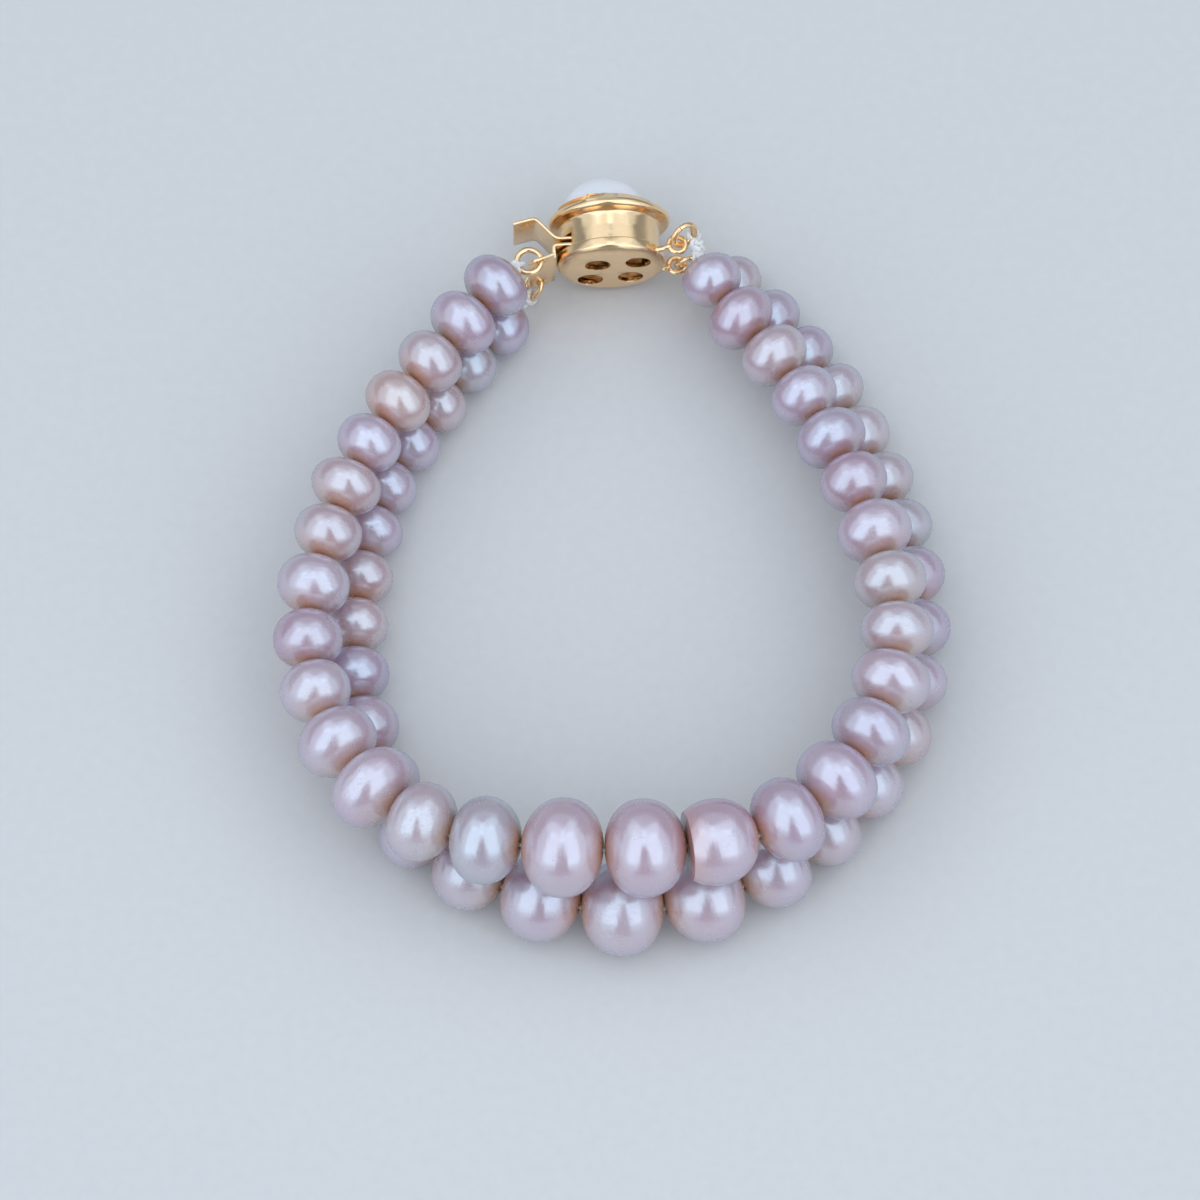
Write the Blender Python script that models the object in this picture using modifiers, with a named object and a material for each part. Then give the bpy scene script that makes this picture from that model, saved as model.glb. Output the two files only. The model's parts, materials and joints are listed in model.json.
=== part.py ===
"""A two-strand pearl bracelet lying closed on a flat surface.

Two strings of button pearls, the upper one nestled on the lower one, meet at a round gilt
box clasp with a white cabochon. The clasp lies on its side, so its axis is level and points
away from the loop. Metres, +Z up. Run with: blender --background --python part.py
"""

import math

import bmesh
import bpy
from mathutils import Matrix, Vector

MM = 0.001

# From the clasp's back to the front of the lower string
LOOP_DEPTH = 66.0 * MM

# Pearls
LARGEST_PEARL = 9.8 * MM
NECK_GAP = 0.25 * MM
STRAND_GAP = 0.2 * MM
BUTTON_POWER = 2.35
PEARL_SIDES = 12
PEARL_STATIONS = 6

# Thread
THREAD_RADIUS = 0.26 * MM
THREAD_LOOP_RADIUS = 0.62 * MM
KNOT_RADIUS = 0.5 * MM
# Where the thread is hidden in its own loop, as a share of its radius
THREAD_ROOT = 0.55
# From each thread loop's middle to the nearest pearl, at the clasp's left and right side
UPPER_END_REACH = (0.9 * MM, 2.8 * MM)
LOWER_END_REACH = (2.1 * MM, 1.5 * MM)

# Clasp body, turned round the clasp's axis
FLANGE_RADIUS = 5.85 * MM
FLANGE_BEAD = 0.42 * MM
FLANGE_AT = 4.65 * MM
# The bead's round side, as angles from the outward direction
BEAD_ANGLES = (math.radians(60), math.radians(-100))
CASE_RADIUS = 4.78 * MM
CASE_SHEET = 0.32 * MM
BEZEL_HEIGHT = 1.3 * MM
BEZEL_LIP = 0.3 * MM
CABOCHON_RADIUS = 4.05 * MM
CABOCHON_HEIGHT = 4.35 * MM
# How far the stone and its bezel sit off the case's axis, towards the tongue
STONE_SHIFT = 0.5 * MM
FIT_GAP = 0.12 * MM
CLASP_YAW = math.radians(2.6)
CLASP_TILT = math.radians(4.0)

# Clasp back, a shallow cup pressed over the body
BACK_SHEET = 0.4 * MM
BACK_BULGE = 0.3 * MM
SKIRT_SHEET = 0.3 * MM
SKIRT_HEIGHT = 1.2 * MM
# The four round windows stand in a leaning square: its middle, and its sides as (x, y)
WINDOW_RADIUS = 1.22 * MM
WINDOWS_MIDDLE = (-0.25 * MM, -0.13 * MM)
WINDOW_STEP_ACROSS = (3.88 * MM, -0.32 * MM)
WINDOW_STEP_UP = (-0.71 * MM, 3.55 * MM)

# Tongue and thumb leaf, bent from one thickness of strip
LEAF_SHEET = 0.3 * MM
LEAF_WIDTH = 5.4 * MM
LEAF_GAP = 0.35 * MM
LEAF_REACH = 3.0 * MM
FOLD_GAP = 0.3 * MM
SLOT_SIDE_GAP = 0.25 * MM
SLOT_FACE_GAP = 0.3 * MM
EYE_STRIP_WIDTH = 6.7 * MM
EYE_STRIP_LENGTH = 2.5 * MM
EYE_STRIP_DROP = 0.85 * MM
RISER_FOOT = 0.18 * MM
THUMB_RISE = 2.17 * MM
THUMB_SLANT = 1.65 * MM
THUMB_LENGTH = 2.15 * MM
THUMB_DIP = 0.53 * MM

# Eyes and jump rings
EYE_SPACING = 5.3 * MM
EYE_HOLE_RADIUS = 0.5 * MM
EYE_EDGE = 1.15 * MM
SOLDERED_EYE_RADIUS = 0.78 * MM
EYE_WIRE_RADIUS = 0.27 * MM
SOLDERED_EYE_OUT = 1.15 * MM
SOLDERED_EYE_RISE = 0.45 * MM
EYE_STEM_RADIUS = 0.22 * MM
EYE_STEM_DEPTH = 0.19 * MM
RING_RADIUS = 1.18 * MM
RING_WIRE_RADIUS = 0.27 * MM

# Facets
TURN_STEPS = 28
BEAD_STEPS = 5
DOME_STEPS = 7
WINDOW_SIDES = 16
STEM_SIDES = 8
RING_STEPS = 14
WIRE_SIDES = 6
ROUTE_STEPS = 24
NESTLE_PASSES = 4
# A bent strip's corner is drawn no further out than half its sheet over this
SHARPEST_MITRE = 0.5
SMOOTH_BELOW = math.radians(45)
WELD = 0.001 * MM

# Where each string lies, seen from above and measured from the middle of the clasp's back, as
# shares of LOOP_DEPTH. The points were chosen by hand, from the clasp's left side round the
# front to its right side.
LOWER_ROUTE = [
    (-0.2106, -0.1364), (-0.3288, -0.3333), (-0.3697, -0.5530), (-0.3576, -0.7136),
    (-0.2833, -0.8788), (-0.1000, -0.9864), (0.0167, -1.0000), (0.1318, -0.9894),
    (0.3015, -0.8773), (0.4091, -0.7242), (0.4333, -0.5621), (0.4121, -0.3985),
    (0.3197, -0.1818), (0.2288, -0.0606), (0.1773, -0.0061),
]
UPPER_ROUTE = [
    (-0.2136, -0.1136), (-0.3500, -0.3061), (-0.4061, -0.4455), (-0.4364, -0.6121),
    (-0.3924, -0.7803), (-0.2682, -0.9182), (-0.0697, -0.9621), (0.0485, -0.9636),
    (0.2439, -0.9227), (0.3667, -0.7773), (0.4091, -0.6121), (0.3500, -0.3727),
    (0.2379, -0.1636), (0.1364, -0.0394),
]

# Each jump ring by its side and level: the directions from its eye to its middle, square to
# it, and from its middle to its thread, all in the clasp's axes
RING_POSES = {
    ("left", "upper"): ((1.0, 0.0, 0.0), (0.0, 1.0, 0.0), (0.88, 0.0, -0.48)),
    ("left", "lower"): ((0.62, -0.78, 0.0), (0.78, 0.62, 0.0), (0.21, -0.27, -0.94)),
    ("right", "upper"): ((-0.6, 0.5, 0.62), (-0.52, 0.35, -0.78), (-0.76, -0.61, 0.24)),
    ("right", "lower"): ((-0.9, 0.0, 0.1), (0.1, 0.0, 0.9), (-0.9, -0.3, 0.1)),
}

# One row for each pair of pearls, from the clasp's left side round to its right side.
# Columns: upper pearl's diameter, upper pearl's thickness along the thread, lower pearl's
# diameter, lower pearl's thickness, all as shares of LARGEST_PEARL. The thicknesses are
# then fitted together to the string's route.
PEARLS = [
    (0.69, 0.51, 0.61, 0.54),
    (0.70, 0.52, 0.61, 0.53),
    (0.66, 0.53, 0.62, 0.51),
    (0.67, 0.53, 0.63, 0.52),
    (0.64, 0.53, 0.63, 0.52),
    (0.70, 0.51, 0.65, 0.50),
    (0.67, 0.54, 0.65, 0.51),
    (0.71, 0.59, 0.67, 0.53),
    (0.68, 0.58, 0.68, 0.54),
    (0.69, 0.59, 0.71, 0.61),
    (0.79, 0.62, 0.74, 0.62),
    (0.86, 0.62, 0.78, 0.64),
    (0.80, 0.64, 0.80, 0.72),
    (0.85, 0.69, 0.89, 0.79),
    (0.96, 0.80, 0.93, 0.81),
    (0.96, 0.80, 0.89, 0.80),
    (0.84, 0.70, 0.82, 0.69),
    (0.85, 0.66, 0.76, 0.64),
    (0.83, 0.66, 0.75, 0.63),
    (0.78, 0.60, 0.72, 0.60),
    (0.77, 0.58, 0.74, 0.56),
    (0.71, 0.54, 0.74, 0.56),
    (0.71, 0.56, 0.72, 0.56),
    (0.73, 0.59, 0.70, 0.53),
    (0.67, 0.56, 0.68, 0.53),
    (0.70, 0.53, 0.66, 0.55),
    (0.67, 0.53, 0.66, 0.50),
    (0.67, 0.53, 0.64, 0.50),
    (0.69, 0.52, 0.62, 0.53),
    (0.60, 0.52, 0.61, 0.52),
]

# Derived sizes of the clasp
BACK_OUTER_RADIUS = CASE_RADIUS + FIT_GAP + SKIRT_SHEET
CASE_INNER_RADIUS = CASE_RADIUS - CASE_SHEET
TONGUE_AT = BACK_SHEET + SLOT_FACE_GAP + LEAF_SHEET + SKIRT_HEIGHT / 2
THUMB_AT = TONGUE_AT + LEAF_SHEET + LEAF_GAP
RISER_AT = BACK_OUTER_RADIUS + FIT_GAP + LEAF_SHEET / 2
EYE_STRIP_AT = BACK_SHEET
AXIS_HEIGHT = FLANGE_RADIUS * math.cos(CLASP_TILT) - FLANGE_AT * math.sin(CLASP_TILT)


def clasp_frame():
    """The clasp's own axes: X to the tongue, Y up, Z along the clasp's axis, away from the loop."""
    yaw = Matrix.Rotation(CLASP_YAW, 4, "Z")
    tilt = Matrix.Rotation(CLASP_TILT, 4, "X")
    stand_on_side = Matrix(((-1, 0, 0, 0), (0, 0, 1, 0), (0, 1, 0, 0), (0, 0, 0, 1)))
    return Matrix.Translation((0, 0, AXIS_HEIGHT)) @ yaw @ tilt @ stand_on_side


CLASP = clasp_frame()


def clear_scene():
    """Removes the objects that a new file opens with."""
    for obj in list(bpy.data.objects):
        bpy.data.objects.remove(obj)


def new_collection(name, hidden=False):
    """A collection of the scene, left out of renders if hidden."""
    collection = bpy.data.collections.new(name)
    collection.hide_render = hidden
    bpy.context.scene.collection.children.link(collection)
    return collection


def material(name, colour, roughness, metallic=0.0):
    """A Principled material of one colour."""
    result = bpy.data.materials.new(name)
    result.use_nodes = True
    shader = result.node_tree.nodes["Principled BSDF"]
    shader.inputs["Base Color"].default_value = (*colour, 1.0)
    shader.inputs["Roughness"].default_value = roughness
    shader.inputs["Metallic"].default_value = metallic
    return result


def place(name, mesh, matrix=None):
    """Puts a mesh in the bracelet's collection as a named object."""
    obj = bpy.data.objects.new(name, mesh)
    obj.matrix_world = matrix if matrix else Matrix()
    bracelet.objects.link(obj)
    return obj


def as_cutter(obj):
    """Moves an object to the cutters, which are never rendered."""
    bracelet.objects.unlink(obj)
    cutters.objects.link(obj)
    obj.hide_render = True
    obj.display_type = "WIRE"
    return obj


def combine(obj, other, operation):
    """Adds a Boolean of other to obj, and makes other a cutter."""
    modifier = obj.modifiers.new(f"{operation.lower()} {other.name}", "BOOLEAN")
    modifier.operation = operation
    modifier.solver = "EXACT"
    modifier.object = as_cutter(other)


def to_mesh_object(curve_obj):
    """Turns a curve object into a mesh object whose caps are welded."""
    bpy.context.view_layer.update()
    graph = bpy.context.evaluated_depsgraph_get()
    mesh = bpy.data.meshes.new_from_object(curve_obj.evaluated_get(graph))
    shape = bmesh.new()
    shape.from_mesh(mesh)
    bmesh.ops.remove_doubles(shape, verts=shape.verts, dist=WELD)
    bmesh.ops.recalc_face_normals(shape, faces=shape.faces)
    shape.to_mesh(mesh)
    shape.free()
    name, matrix = curve_obj.name, curve_obj.matrix_world.copy()
    bpy.data.objects.remove(curve_obj)
    return place(name, mesh, matrix)


def swept(name, centres, radii, sides):
    """A closed body round a line of centres, with a radius at each of them."""
    curve = bpy.data.curves.new(name, "CURVE")
    curve.dimensions = "3D"
    curve.twist_mode = "Z_UP"
    curve.bevel_depth = max(radii)
    curve.bevel_resolution = (sides - 4) // 2
    curve.use_fill_caps = True
    spline = curve.splines.new("POLY")
    spline.points.add(len(centres) - 1)
    for point, centre, radius in zip(spline.points, centres, radii):
        point.co = (*centre, 1.0)
        point.radius = radius / curve.bevel_depth
    return to_mesh_object(place(name, curve))


def turned(name, profile, steps=TURN_STEPS):
    """A solid of revolution on the clasp's axis, from (radius, height) pairs."""
    mesh = bpy.data.meshes.new(name)
    corners = [(radius, 0.0, height) for radius, height in profile]
    mesh.from_pydata(corners, [(i, i + 1) for i in range(len(corners) - 1)], [])
    obj = place(name, mesh, CLASP)
    screw = obj.modifiers.new("turn", "SCREW")
    screw.axis = "Z"
    screw.angle = math.tau
    screw.steps = steps
    screw.render_steps = steps
    screw.use_merge_vertices = True
    screw.merge_threshold = WELD
    return obj


def shift_stone_seat(body, inside, above):
    """Moves the stone's seat and bezel, which lie inside a radius and above a height, off the axis."""
    bpy.context.view_layer.update()
    graph = bpy.context.evaluated_depsgraph_get()
    body.data = bpy.data.meshes.new_from_object(body.evaluated_get(graph))
    body.modifiers.clear()
    shape = bmesh.new()
    shape.from_mesh(body.data)
    seat = [v for v in shape.verts if v.co.z > above and v.co.xy.length < inside]
    bmesh.ops.translate(shape, vec=(STONE_SHIFT, 0, 0), verts=seat)
    shape.to_mesh(body.data)
    shape.free()


def bent_strip(name, line, width):
    """A strip of leaf metal on edge, bent along line, given as (x, z) in the clasp's axes."""
    points = [Vector(point) for point in line]
    left, right = [], []
    for index, point in enumerate(points):
        before = points[max(index - 1, 0)]
        after = points[min(index + 1, len(points) - 1)]
        arriving = (point - before) if index else (after - point)
        leaving = (after - point) if index < len(points) - 1 else arriving
        arriving = arriving.normalized()
        leaving = leaving.normalized()
        mitre = (arriving + leaving).normalized()
        side = Vector((-mitre.y, mitre.x))
        half = LEAF_SHEET / 2 / max(mitre.dot(arriving), SHARPEST_MITRE)
        left.append(point + side * half)
        right.append(point - side * half)
    curve = bpy.data.curves.new(name, "CURVE")
    curve.dimensions = "2D"
    curve.fill_mode = "BOTH"
    curve.extrude = width / 2
    outline = left + right[::-1]
    spline = curve.splines.new("POLY")
    spline.points.add(len(outline) - 1)
    spline.use_cyclic_u = True
    for corner, point in zip(spline.points, outline):
        corner.co = (point.x, point.y, 0.0, 1.0)
    stand_up = Matrix.Rotation(math.radians(90), 4, "X")
    return to_mesh_object(place(name, curve, CLASP @ stand_up))


def round_bar(name, start, end, radius, sides=WINDOW_SIDES):
    """A closed cylinder between two points."""
    axis = end - start
    shape = bmesh.new()
    bmesh.ops.create_cone(
        shape, cap_ends=True, segments=sides, radius1=radius, radius2=radius, depth=axis.length
    )
    mesh = bpy.data.meshes.new(name)
    shape.to_mesh(mesh)
    shape.free()
    turn = axis.to_track_quat("Z", "Y").to_matrix().to_4x4()
    return place(name, mesh, Matrix.Translation((start + end) / 2) @ turn)


def box(name, low, high):
    """A box between two corners in the clasp's axes."""
    shape = bmesh.new()
    bmesh.ops.create_cube(shape, size=1.0)
    low, high = Vector(low), Vector(high)
    size = high - low
    bmesh.ops.scale(shape, vec=size, verts=shape.verts)
    bmesh.ops.translate(shape, vec=(low + high) / 2, verts=shape.verts)
    mesh = bpy.data.meshes.new(name)
    shape.to_mesh(mesh)
    shape.free()
    return place(name, mesh, CLASP)


def wire_ring(name, centre, normal, radius, wire_radius, steps=RING_STEPS):
    """A closed ring of round wire."""
    bpy.ops.mesh.primitive_torus_add(
        major_segments=steps,
        minor_segments=WIRE_SIDES,
        major_radius=radius,
        minor_radius=wire_radius,
    )
    made = bpy.context.object
    mesh = made.data
    bpy.data.objects.remove(made)
    turn = normal.to_track_quat("Z", "Y").to_matrix().to_4x4()
    return place(name, mesh, Matrix.Translation(centre) @ turn)


def smooth_line(points):
    """A finely stepped curve through the points, on centripetal spans."""
    first = points[0] * 2 - points[1]
    last = points[-1] * 2 - points[-2]
    guides = [first, *points, last]
    line = []
    for p0, p1, p2, p3 in zip(guides, guides[1:], guides[2:], guides[3:]):
        t1 = (p1 - p0).length ** 0.5
        t2 = t1 + (p2 - p1).length ** 0.5
        t3 = t2 + (p3 - p2).length ** 0.5
        for step in range(ROUTE_STEPS):
            t = t1 + (t2 - t1) * step / ROUTE_STEPS
            a1 = p0 * ((t1 - t) / t1) + p1 * (t / t1)
            a2 = p1 * ((t2 - t) / (t2 - t1)) + p2 * ((t - t1) / (t2 - t1))
            a3 = p2 * ((t3 - t) / (t3 - t2)) + p3 * ((t - t2) / (t3 - t2))
            b1 = a1 * ((t2 - t) / t2) + a2 * (t / t2)
            b2 = a2 * ((t3 - t) / (t3 - t1)) + a3 * ((t - t1) / (t3 - t1))
            line.append(b1 * ((t2 - t) / (t2 - t1)) + b2 * ((t - t1) / (t2 - t1)))
    return [*line, points[-1]]


def divide(line, shares):
    """Points that split a line in the ratio of the shares, its ends included."""
    reach = [0.0]
    for start, end in zip(line, line[1:]):
        reach.append(reach[-1] + (end - start).length)
    cuts, along, index = [], 0.0, 0
    for share in shares[:-1]:
        along += share / sum(shares) * reach[-1]
        while reach[index + 1] < along:
            index += 1
        part = (along - reach[index]) / (reach[index + 1] - reach[index])
        cuts.append(line[index].lerp(line[index + 1], part))
    return [line[0], *cuts, line[-1]]


class Pearl:
    """One button pearl: where the thread enters and leaves it, and its largest radius."""

    def __init__(self, start, end, radius):
        self.start = start
        self.end = end
        self.radius = radius

    @property
    def middle(self):
        return (self.start + self.end) / 2

    @property
    def half(self):
        return ((self.end - self.start).length - NECK_GAP) / 2


def pearls_along(route, rings, diameters, shares, reaches):
    """Pearls laid flat along a route, which starts and ends near the string's two rings."""
    points = [Vector(point) * LOOP_DEPTH for point in route]
    ends = []
    for ring, neighbour, reach in zip(rings, (points[0], points[-1]), reaches):
        foot = ring.thread.to_2d()
        ends.append(foot + (neighbour - foot).normalized() * reach)
    line = smooth_line([ends[0], *points, ends[1]])
    cuts = divide(line, shares)
    return [
        Pearl(a.to_3d(), b.to_3d(), share * LARGEST_PEARL / 2)
        for a, b, share in zip(cuts, cuts[1:], diameters)
    ]


def lift(pearls, heights):
    """Sets the pearls at these heights, each one's thread holes halfway to its neighbours'."""
    joints = [(a + b) / 2 for a, b in zip(heights, heights[1:])]
    first = heights[0] * 2 - joints[0]
    last = heights[-1] * 2 - joints[-1]
    joints = [first, *joints, last]
    for pearl, start, end in zip(pearls, joints, joints[1:]):
        pearl.start.z = start
        pearl.end.z = end


def height_over(pearl, below):
    """The height at which a pearl just clears one that lies below it."""
    along = (below.end - below.start).to_2d().normalized()
    offset = (pearl.middle - below.middle).to_2d()
    forward = abs(offset.dot(along)) / (pearl.half + below.half)
    if forward >= 1:
        return 0.0
    across = (offset - along * offset.dot(along)).length
    reach = (pearl.radius + below.radius + STRAND_GAP) * (
        1 - forward**BUTTON_POWER
    ) ** (1 / BUTTON_POWER)
    return below.middle.z + math.sqrt(max(reach**2 - across**2, 0.0))


def nestle(pearls, lower):
    """Lays a string on the lower one: a pearl's rise also lifts the pearls beside it."""
    needed = [max(height_over(pearl, below) for below in lower) for pearl in pearls]
    heights = needed[:]
    for _ in range(NESTLE_PASSES):
        padded = [heights[0], *heights, heights[-1]]
        around = [(a + b) / 2 for a, b in zip(padded, padded[2:])]
        heights = [max(pair) for pair in zip(needed, around)]
    lift(pearls, heights)


def button_profile():
    """(place along the thread, radius) pairs of a button pearl, as shares of its half sizes."""
    for step in range(PEARL_STATIONS + 1):
        angle = math.pi * step / PEARL_STATIONS
        along = math.copysign(abs(math.cos(angle)) ** (2 / BUTTON_POWER), -math.cos(angle))
        yield along, math.sin(angle) ** (2 / BUTTON_POWER) if 0 < step < PEARL_STATIONS else 0.0


def thread_loop(ring, hole):
    """A thread loop on a ring: its middle, the direction square to it, and its side to the hole."""
    to_hole = (hole - ring.thread).normalized()
    wire_way = ring.normal.cross(ring.thread - ring.centre)
    across = to_hole.cross(wire_way).normalized()
    return ring.thread, to_hole.cross(across).normalized(), ring.thread + to_hole * THREAD_LOOP_RADIUS


def string_of(name, pearls, rings):
    """A string of pearls fused on its thread, with a thread loop through the ring at each end."""
    centres, radii = [], []
    for pearl in pearls:
        axis = (pearl.end - pearl.start).normalized()
        for along, share in button_profile():
            centres.append(pearl.middle + axis * (along * pearl.half))
            radii.append(max(share * pearl.radius, THREAD_RADIUS))
    loops = [thread_loop(ring, hole) for ring, hole in zip(rings, (pearls[0].start, pearls[-1].end))]
    (_, _, start), (_, _, end) = loops
    before = (start + pearls[0].start) / 2
    after = (end + pearls[-1].end) / 2
    centres = [start, before, *centres, after, end]
    root = THREAD_RADIUS * THREAD_ROOT
    knots = [
        max(THREAD_RADIUS, min(KNOT_RADIUS, (knot - near).length))
        for knot, near in ((before, start), (after, end))
    ]
    radii = [root, knots[0], *radii, knots[1], root]
    string = swept(name, centres, radii, PEARL_SIDES)
    for side, (middle, normal, _) in zip(("left", "right"), loops):
        loop = wire_ring(f"{name} {side} loop", middle, normal, THREAD_LOOP_RADIUS, THREAD_RADIUS)
        combine(string, loop, "UNION")
    return string


class Ring:
    """A jump ring: its centre, the direction square to it and where its thread lies on it."""

    def __init__(self, centre, normal, to_thread):
        self.centre = centre
        self.normal = normal
        self.thread = centre + to_thread * RING_RADIUS


def eye_point(side, level):
    """The middle of an eye: side 'left' on the tongue or 'right' on the clasp's back."""
    height = {"upper": 0.5, "lower": -0.5}[level] * EYE_SPACING
    if side == "right":
        out = BACK_OUTER_RADIUS + SOLDERED_EYE_OUT
        return CLASP @ Vector((-out, height, SKIRT_HEIGHT / 2 + SOLDERED_EYE_RISE))
    along = Vector((EYE_STRIP_LENGTH, -EYE_STRIP_DROP)).normalized()
    hole = Vector((RISER_AT, EYE_STRIP_AT)) + along * (EYE_STRIP_LENGTH - EYE_EDGE)
    return CLASP @ Vector((hole.x, height, hole.y))


def ring_at(side, level):
    """The jump ring whose wire passes through the middle of an eye."""
    ways = [CLASP.to_3x3() @ Vector(way).normalized() for way in RING_POSES[side, level]]
    to_middle, square, to_thread = ways
    return Ring(eye_point(side, level) + to_middle * RING_RADIUS, square, to_thread)


def build_strings():
    """Both strings of pearls and the four jump rings."""
    upper_wide, upper_thick, lower_wide, lower_thick = zip(*PEARLS)
    rings = {level: [ring_at("left", level), ring_at("right", level)] for level in ("upper", "lower")}
    lower = pearls_along(LOWER_ROUTE, rings["lower"], lower_wide, lower_thick, LOWER_END_REACH)
    lift(lower, [pearl.radius for pearl in lower])
    upper = pearls_along(UPPER_ROUTE, rings["upper"], upper_wide, upper_thick, UPPER_END_REACH)
    nestle(upper, lower)
    for level, pearls in (("upper", upper), ("lower", lower)):
        string = string_of(f"{level}_strand", pearls, rings[level])
        string.data.materials.append(nacre[level])
        for side, ring in zip(("left", "right"), rings[level]):
            made = wire_ring(
                f"ring_{side}_{level}", ring.centre, ring.normal, RING_RADIUS, RING_WIRE_RADIUS
            )
            made.data.materials.append(gilt)


def bead_outline(centre_radius, height):
    """Points round the flange's bead, from its face to its back."""
    start, end = BEAD_ANGLES
    angles = [start + (end - start) * step / BEAD_STEPS for step in range(BEAD_STEPS + 1)]
    return [
        (centre_radius + FLANGE_BEAD * math.cos(angle), height + FLANGE_BEAD * math.sin(angle))
        for angle in angles
    ]


def build_clasp_body():
    """The open cup that takes the tongue, its beaded flange and the bezel round the cabochon."""
    lip = CABOCHON_RADIUS + FIT_GAP
    floor = FLANGE_AT - FLANGE_BEAD
    bead = bead_outline(FLANGE_RADIUS - FLANGE_BEAD, FLANGE_AT)
    profile = [
        (0.0, floor + CASE_SHEET),
        (lip, floor + CASE_SHEET),
        (lip, FLANGE_AT + BEZEL_HEIGHT),
        (lip + BEZEL_LIP, FLANGE_AT + BEZEL_HEIGHT),
        *bead,
        (CASE_RADIUS, floor - CASE_SHEET),
        (CASE_RADIUS, BACK_SHEET + FIT_GAP),
        (CASE_INNER_RADIUS, BACK_SHEET + FIT_GAP),
        (CASE_INNER_RADIUS, floor),
        (0.0, floor),
    ]
    body = turned("clasp_body", profile)
    shift_stone_seat(body, lip + BEZEL_LIP + WELD, floor + CASE_SHEET / 2)
    body.data.materials.append(gilt)
    slot = box(
        "tongue slot",
        (CASE_INNER_RADIUS / 2, -LEAF_WIDTH / 2 - SLOT_SIDE_GAP, TONGUE_AT - LEAF_SHEET / 2 - SLOT_FACE_GAP),
        (FLANGE_RADIUS, LEAF_WIDTH / 2 + SLOT_SIDE_GAP, THUMB_AT + LEAF_SHEET / 2 + SLOT_FACE_GAP),
    )
    combine(body, slot, "DIFFERENCE")


def build_clasp_back():
    """The back: a raised plate with four round windows, a skirt over the body, and two soldered eyes."""
    profile = [
        (0.0, BACK_SHEET - BACK_BULGE),
        (CASE_RADIUS - BACK_SHEET, BACK_SHEET - BACK_BULGE),
        (CASE_RADIUS + FIT_GAP, BACK_SHEET),
        (CASE_RADIUS + FIT_GAP, SKIRT_HEIGHT),
        (BACK_OUTER_RADIUS, SKIRT_HEIGHT),
        (BACK_OUTER_RADIUS, SKIRT_SHEET),
        (BACK_OUTER_RADIUS - SKIRT_SHEET, 0.0),
        (CASE_RADIUS - BACK_SHEET, -BACK_BULGE),
        (0.0, -BACK_BULGE),
    ]
    back = turned("clasp_back", profile)
    back.data.materials.append(gilt)
    through = Vector((0, 0, BACK_SHEET))
    plate = Vector((0, 0, -BACK_BULGE))
    for column in (-0.5, 0.5):
        for row in (-0.5, 0.5):
            offset = Vector(WINDOW_STEP_ACROSS) * column + Vector(WINDOW_STEP_UP) * row
            middle = plate + (Vector(WINDOWS_MIDDLE) + offset).to_3d()
            window = round_bar(
                "window", CLASP @ (middle - through), CLASP @ (middle + through * 2), WINDOW_RADIUS
            )
            combine(back, window, "DIFFERENCE")
    upright = (CLASP.to_3x3() @ Vector((0, 1, 0))).normalized()
    skirt_x = math.sqrt(BACK_OUTER_RADIUS**2 - (EYE_SPACING / 2) ** 2)
    for level, side in (("upper", 0.5), ("lower", -0.5)):
        centre = eye_point("right", level)
        eye = wire_ring("soldered eye", centre, upright, SOLDERED_EYE_RADIUS, EYE_WIRE_RADIUS)
        on_skirt = CLASP @ Vector((-skirt_x, EYE_SPACING * side, SKIRT_HEIGHT / 2))
        inward = (on_skirt - centre).normalized()
        stem = round_bar(
            "eye stem",
            centre + inward * SOLDERED_EYE_RADIUS,
            on_skirt + inward * EYE_STEM_DEPTH,
            EYE_STEM_RADIUS,
            STEM_SIDES,
        )
        combine(back, stem, "UNION")
        combine(back, eye, "UNION")


def build_cabochon():
    """The white half-round stone in the bezel."""
    seat = FLANGE_AT - FLANGE_BEAD + CASE_SHEET + FIT_GAP
    straight = BEZEL_HEIGHT / 2
    dome = CABOCHON_HEIGHT - straight
    quarter = [math.pi / 2 * step / DOME_STEPS for step in range(DOME_STEPS + 1)]
    profile = [
        (CABOCHON_RADIUS * math.sin(angle), seat + straight + dome * math.cos(angle))
        for angle in quarter
    ]
    profile = [*profile, (CABOCHON_RADIUS, seat), (0.0, seat)]
    cabochon = turned("clasp_cabochon", profile)
    cabochon.matrix_world = CLASP @ Matrix.Translation((STONE_SHIFT, 0, 0))
    cabochon.data.materials.append(white_stone)


def build_tongue():
    """The flat leaf in the case, whose outer end steps down to a strip with two eyes."""
    foot = (RISER_AT, EYE_STRIP_AT - RISER_FOOT)
    line = [(-LEAF_REACH, TONGUE_AT), (RISER_AT, TONGUE_AT), foot]
    tongue = bent_strip("clasp_tongue", line, LEAF_WIDTH)
    end = (RISER_AT + EYE_STRIP_LENGTH, EYE_STRIP_AT - EYE_STRIP_DROP)
    strip = bent_strip("eye strip", [(RISER_AT, EYE_STRIP_AT), end], EYE_STRIP_WIDTH)
    combine(tongue, strip, "UNION")
    normal = CLASP.to_3x3() @ Vector((EYE_STRIP_DROP, 0, EYE_STRIP_LENGTH)).normalized()
    for level in ("lower", "upper"):
        eye = eye_point("left", level)
        reach = normal * LEAF_SHEET * 2
        combine(tongue, round_bar("tongue eye", eye - reach, eye + reach, EYE_HOLE_RADIUS), "DIFFERENCE")
    tongue.data.materials.append(gilt)


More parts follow.
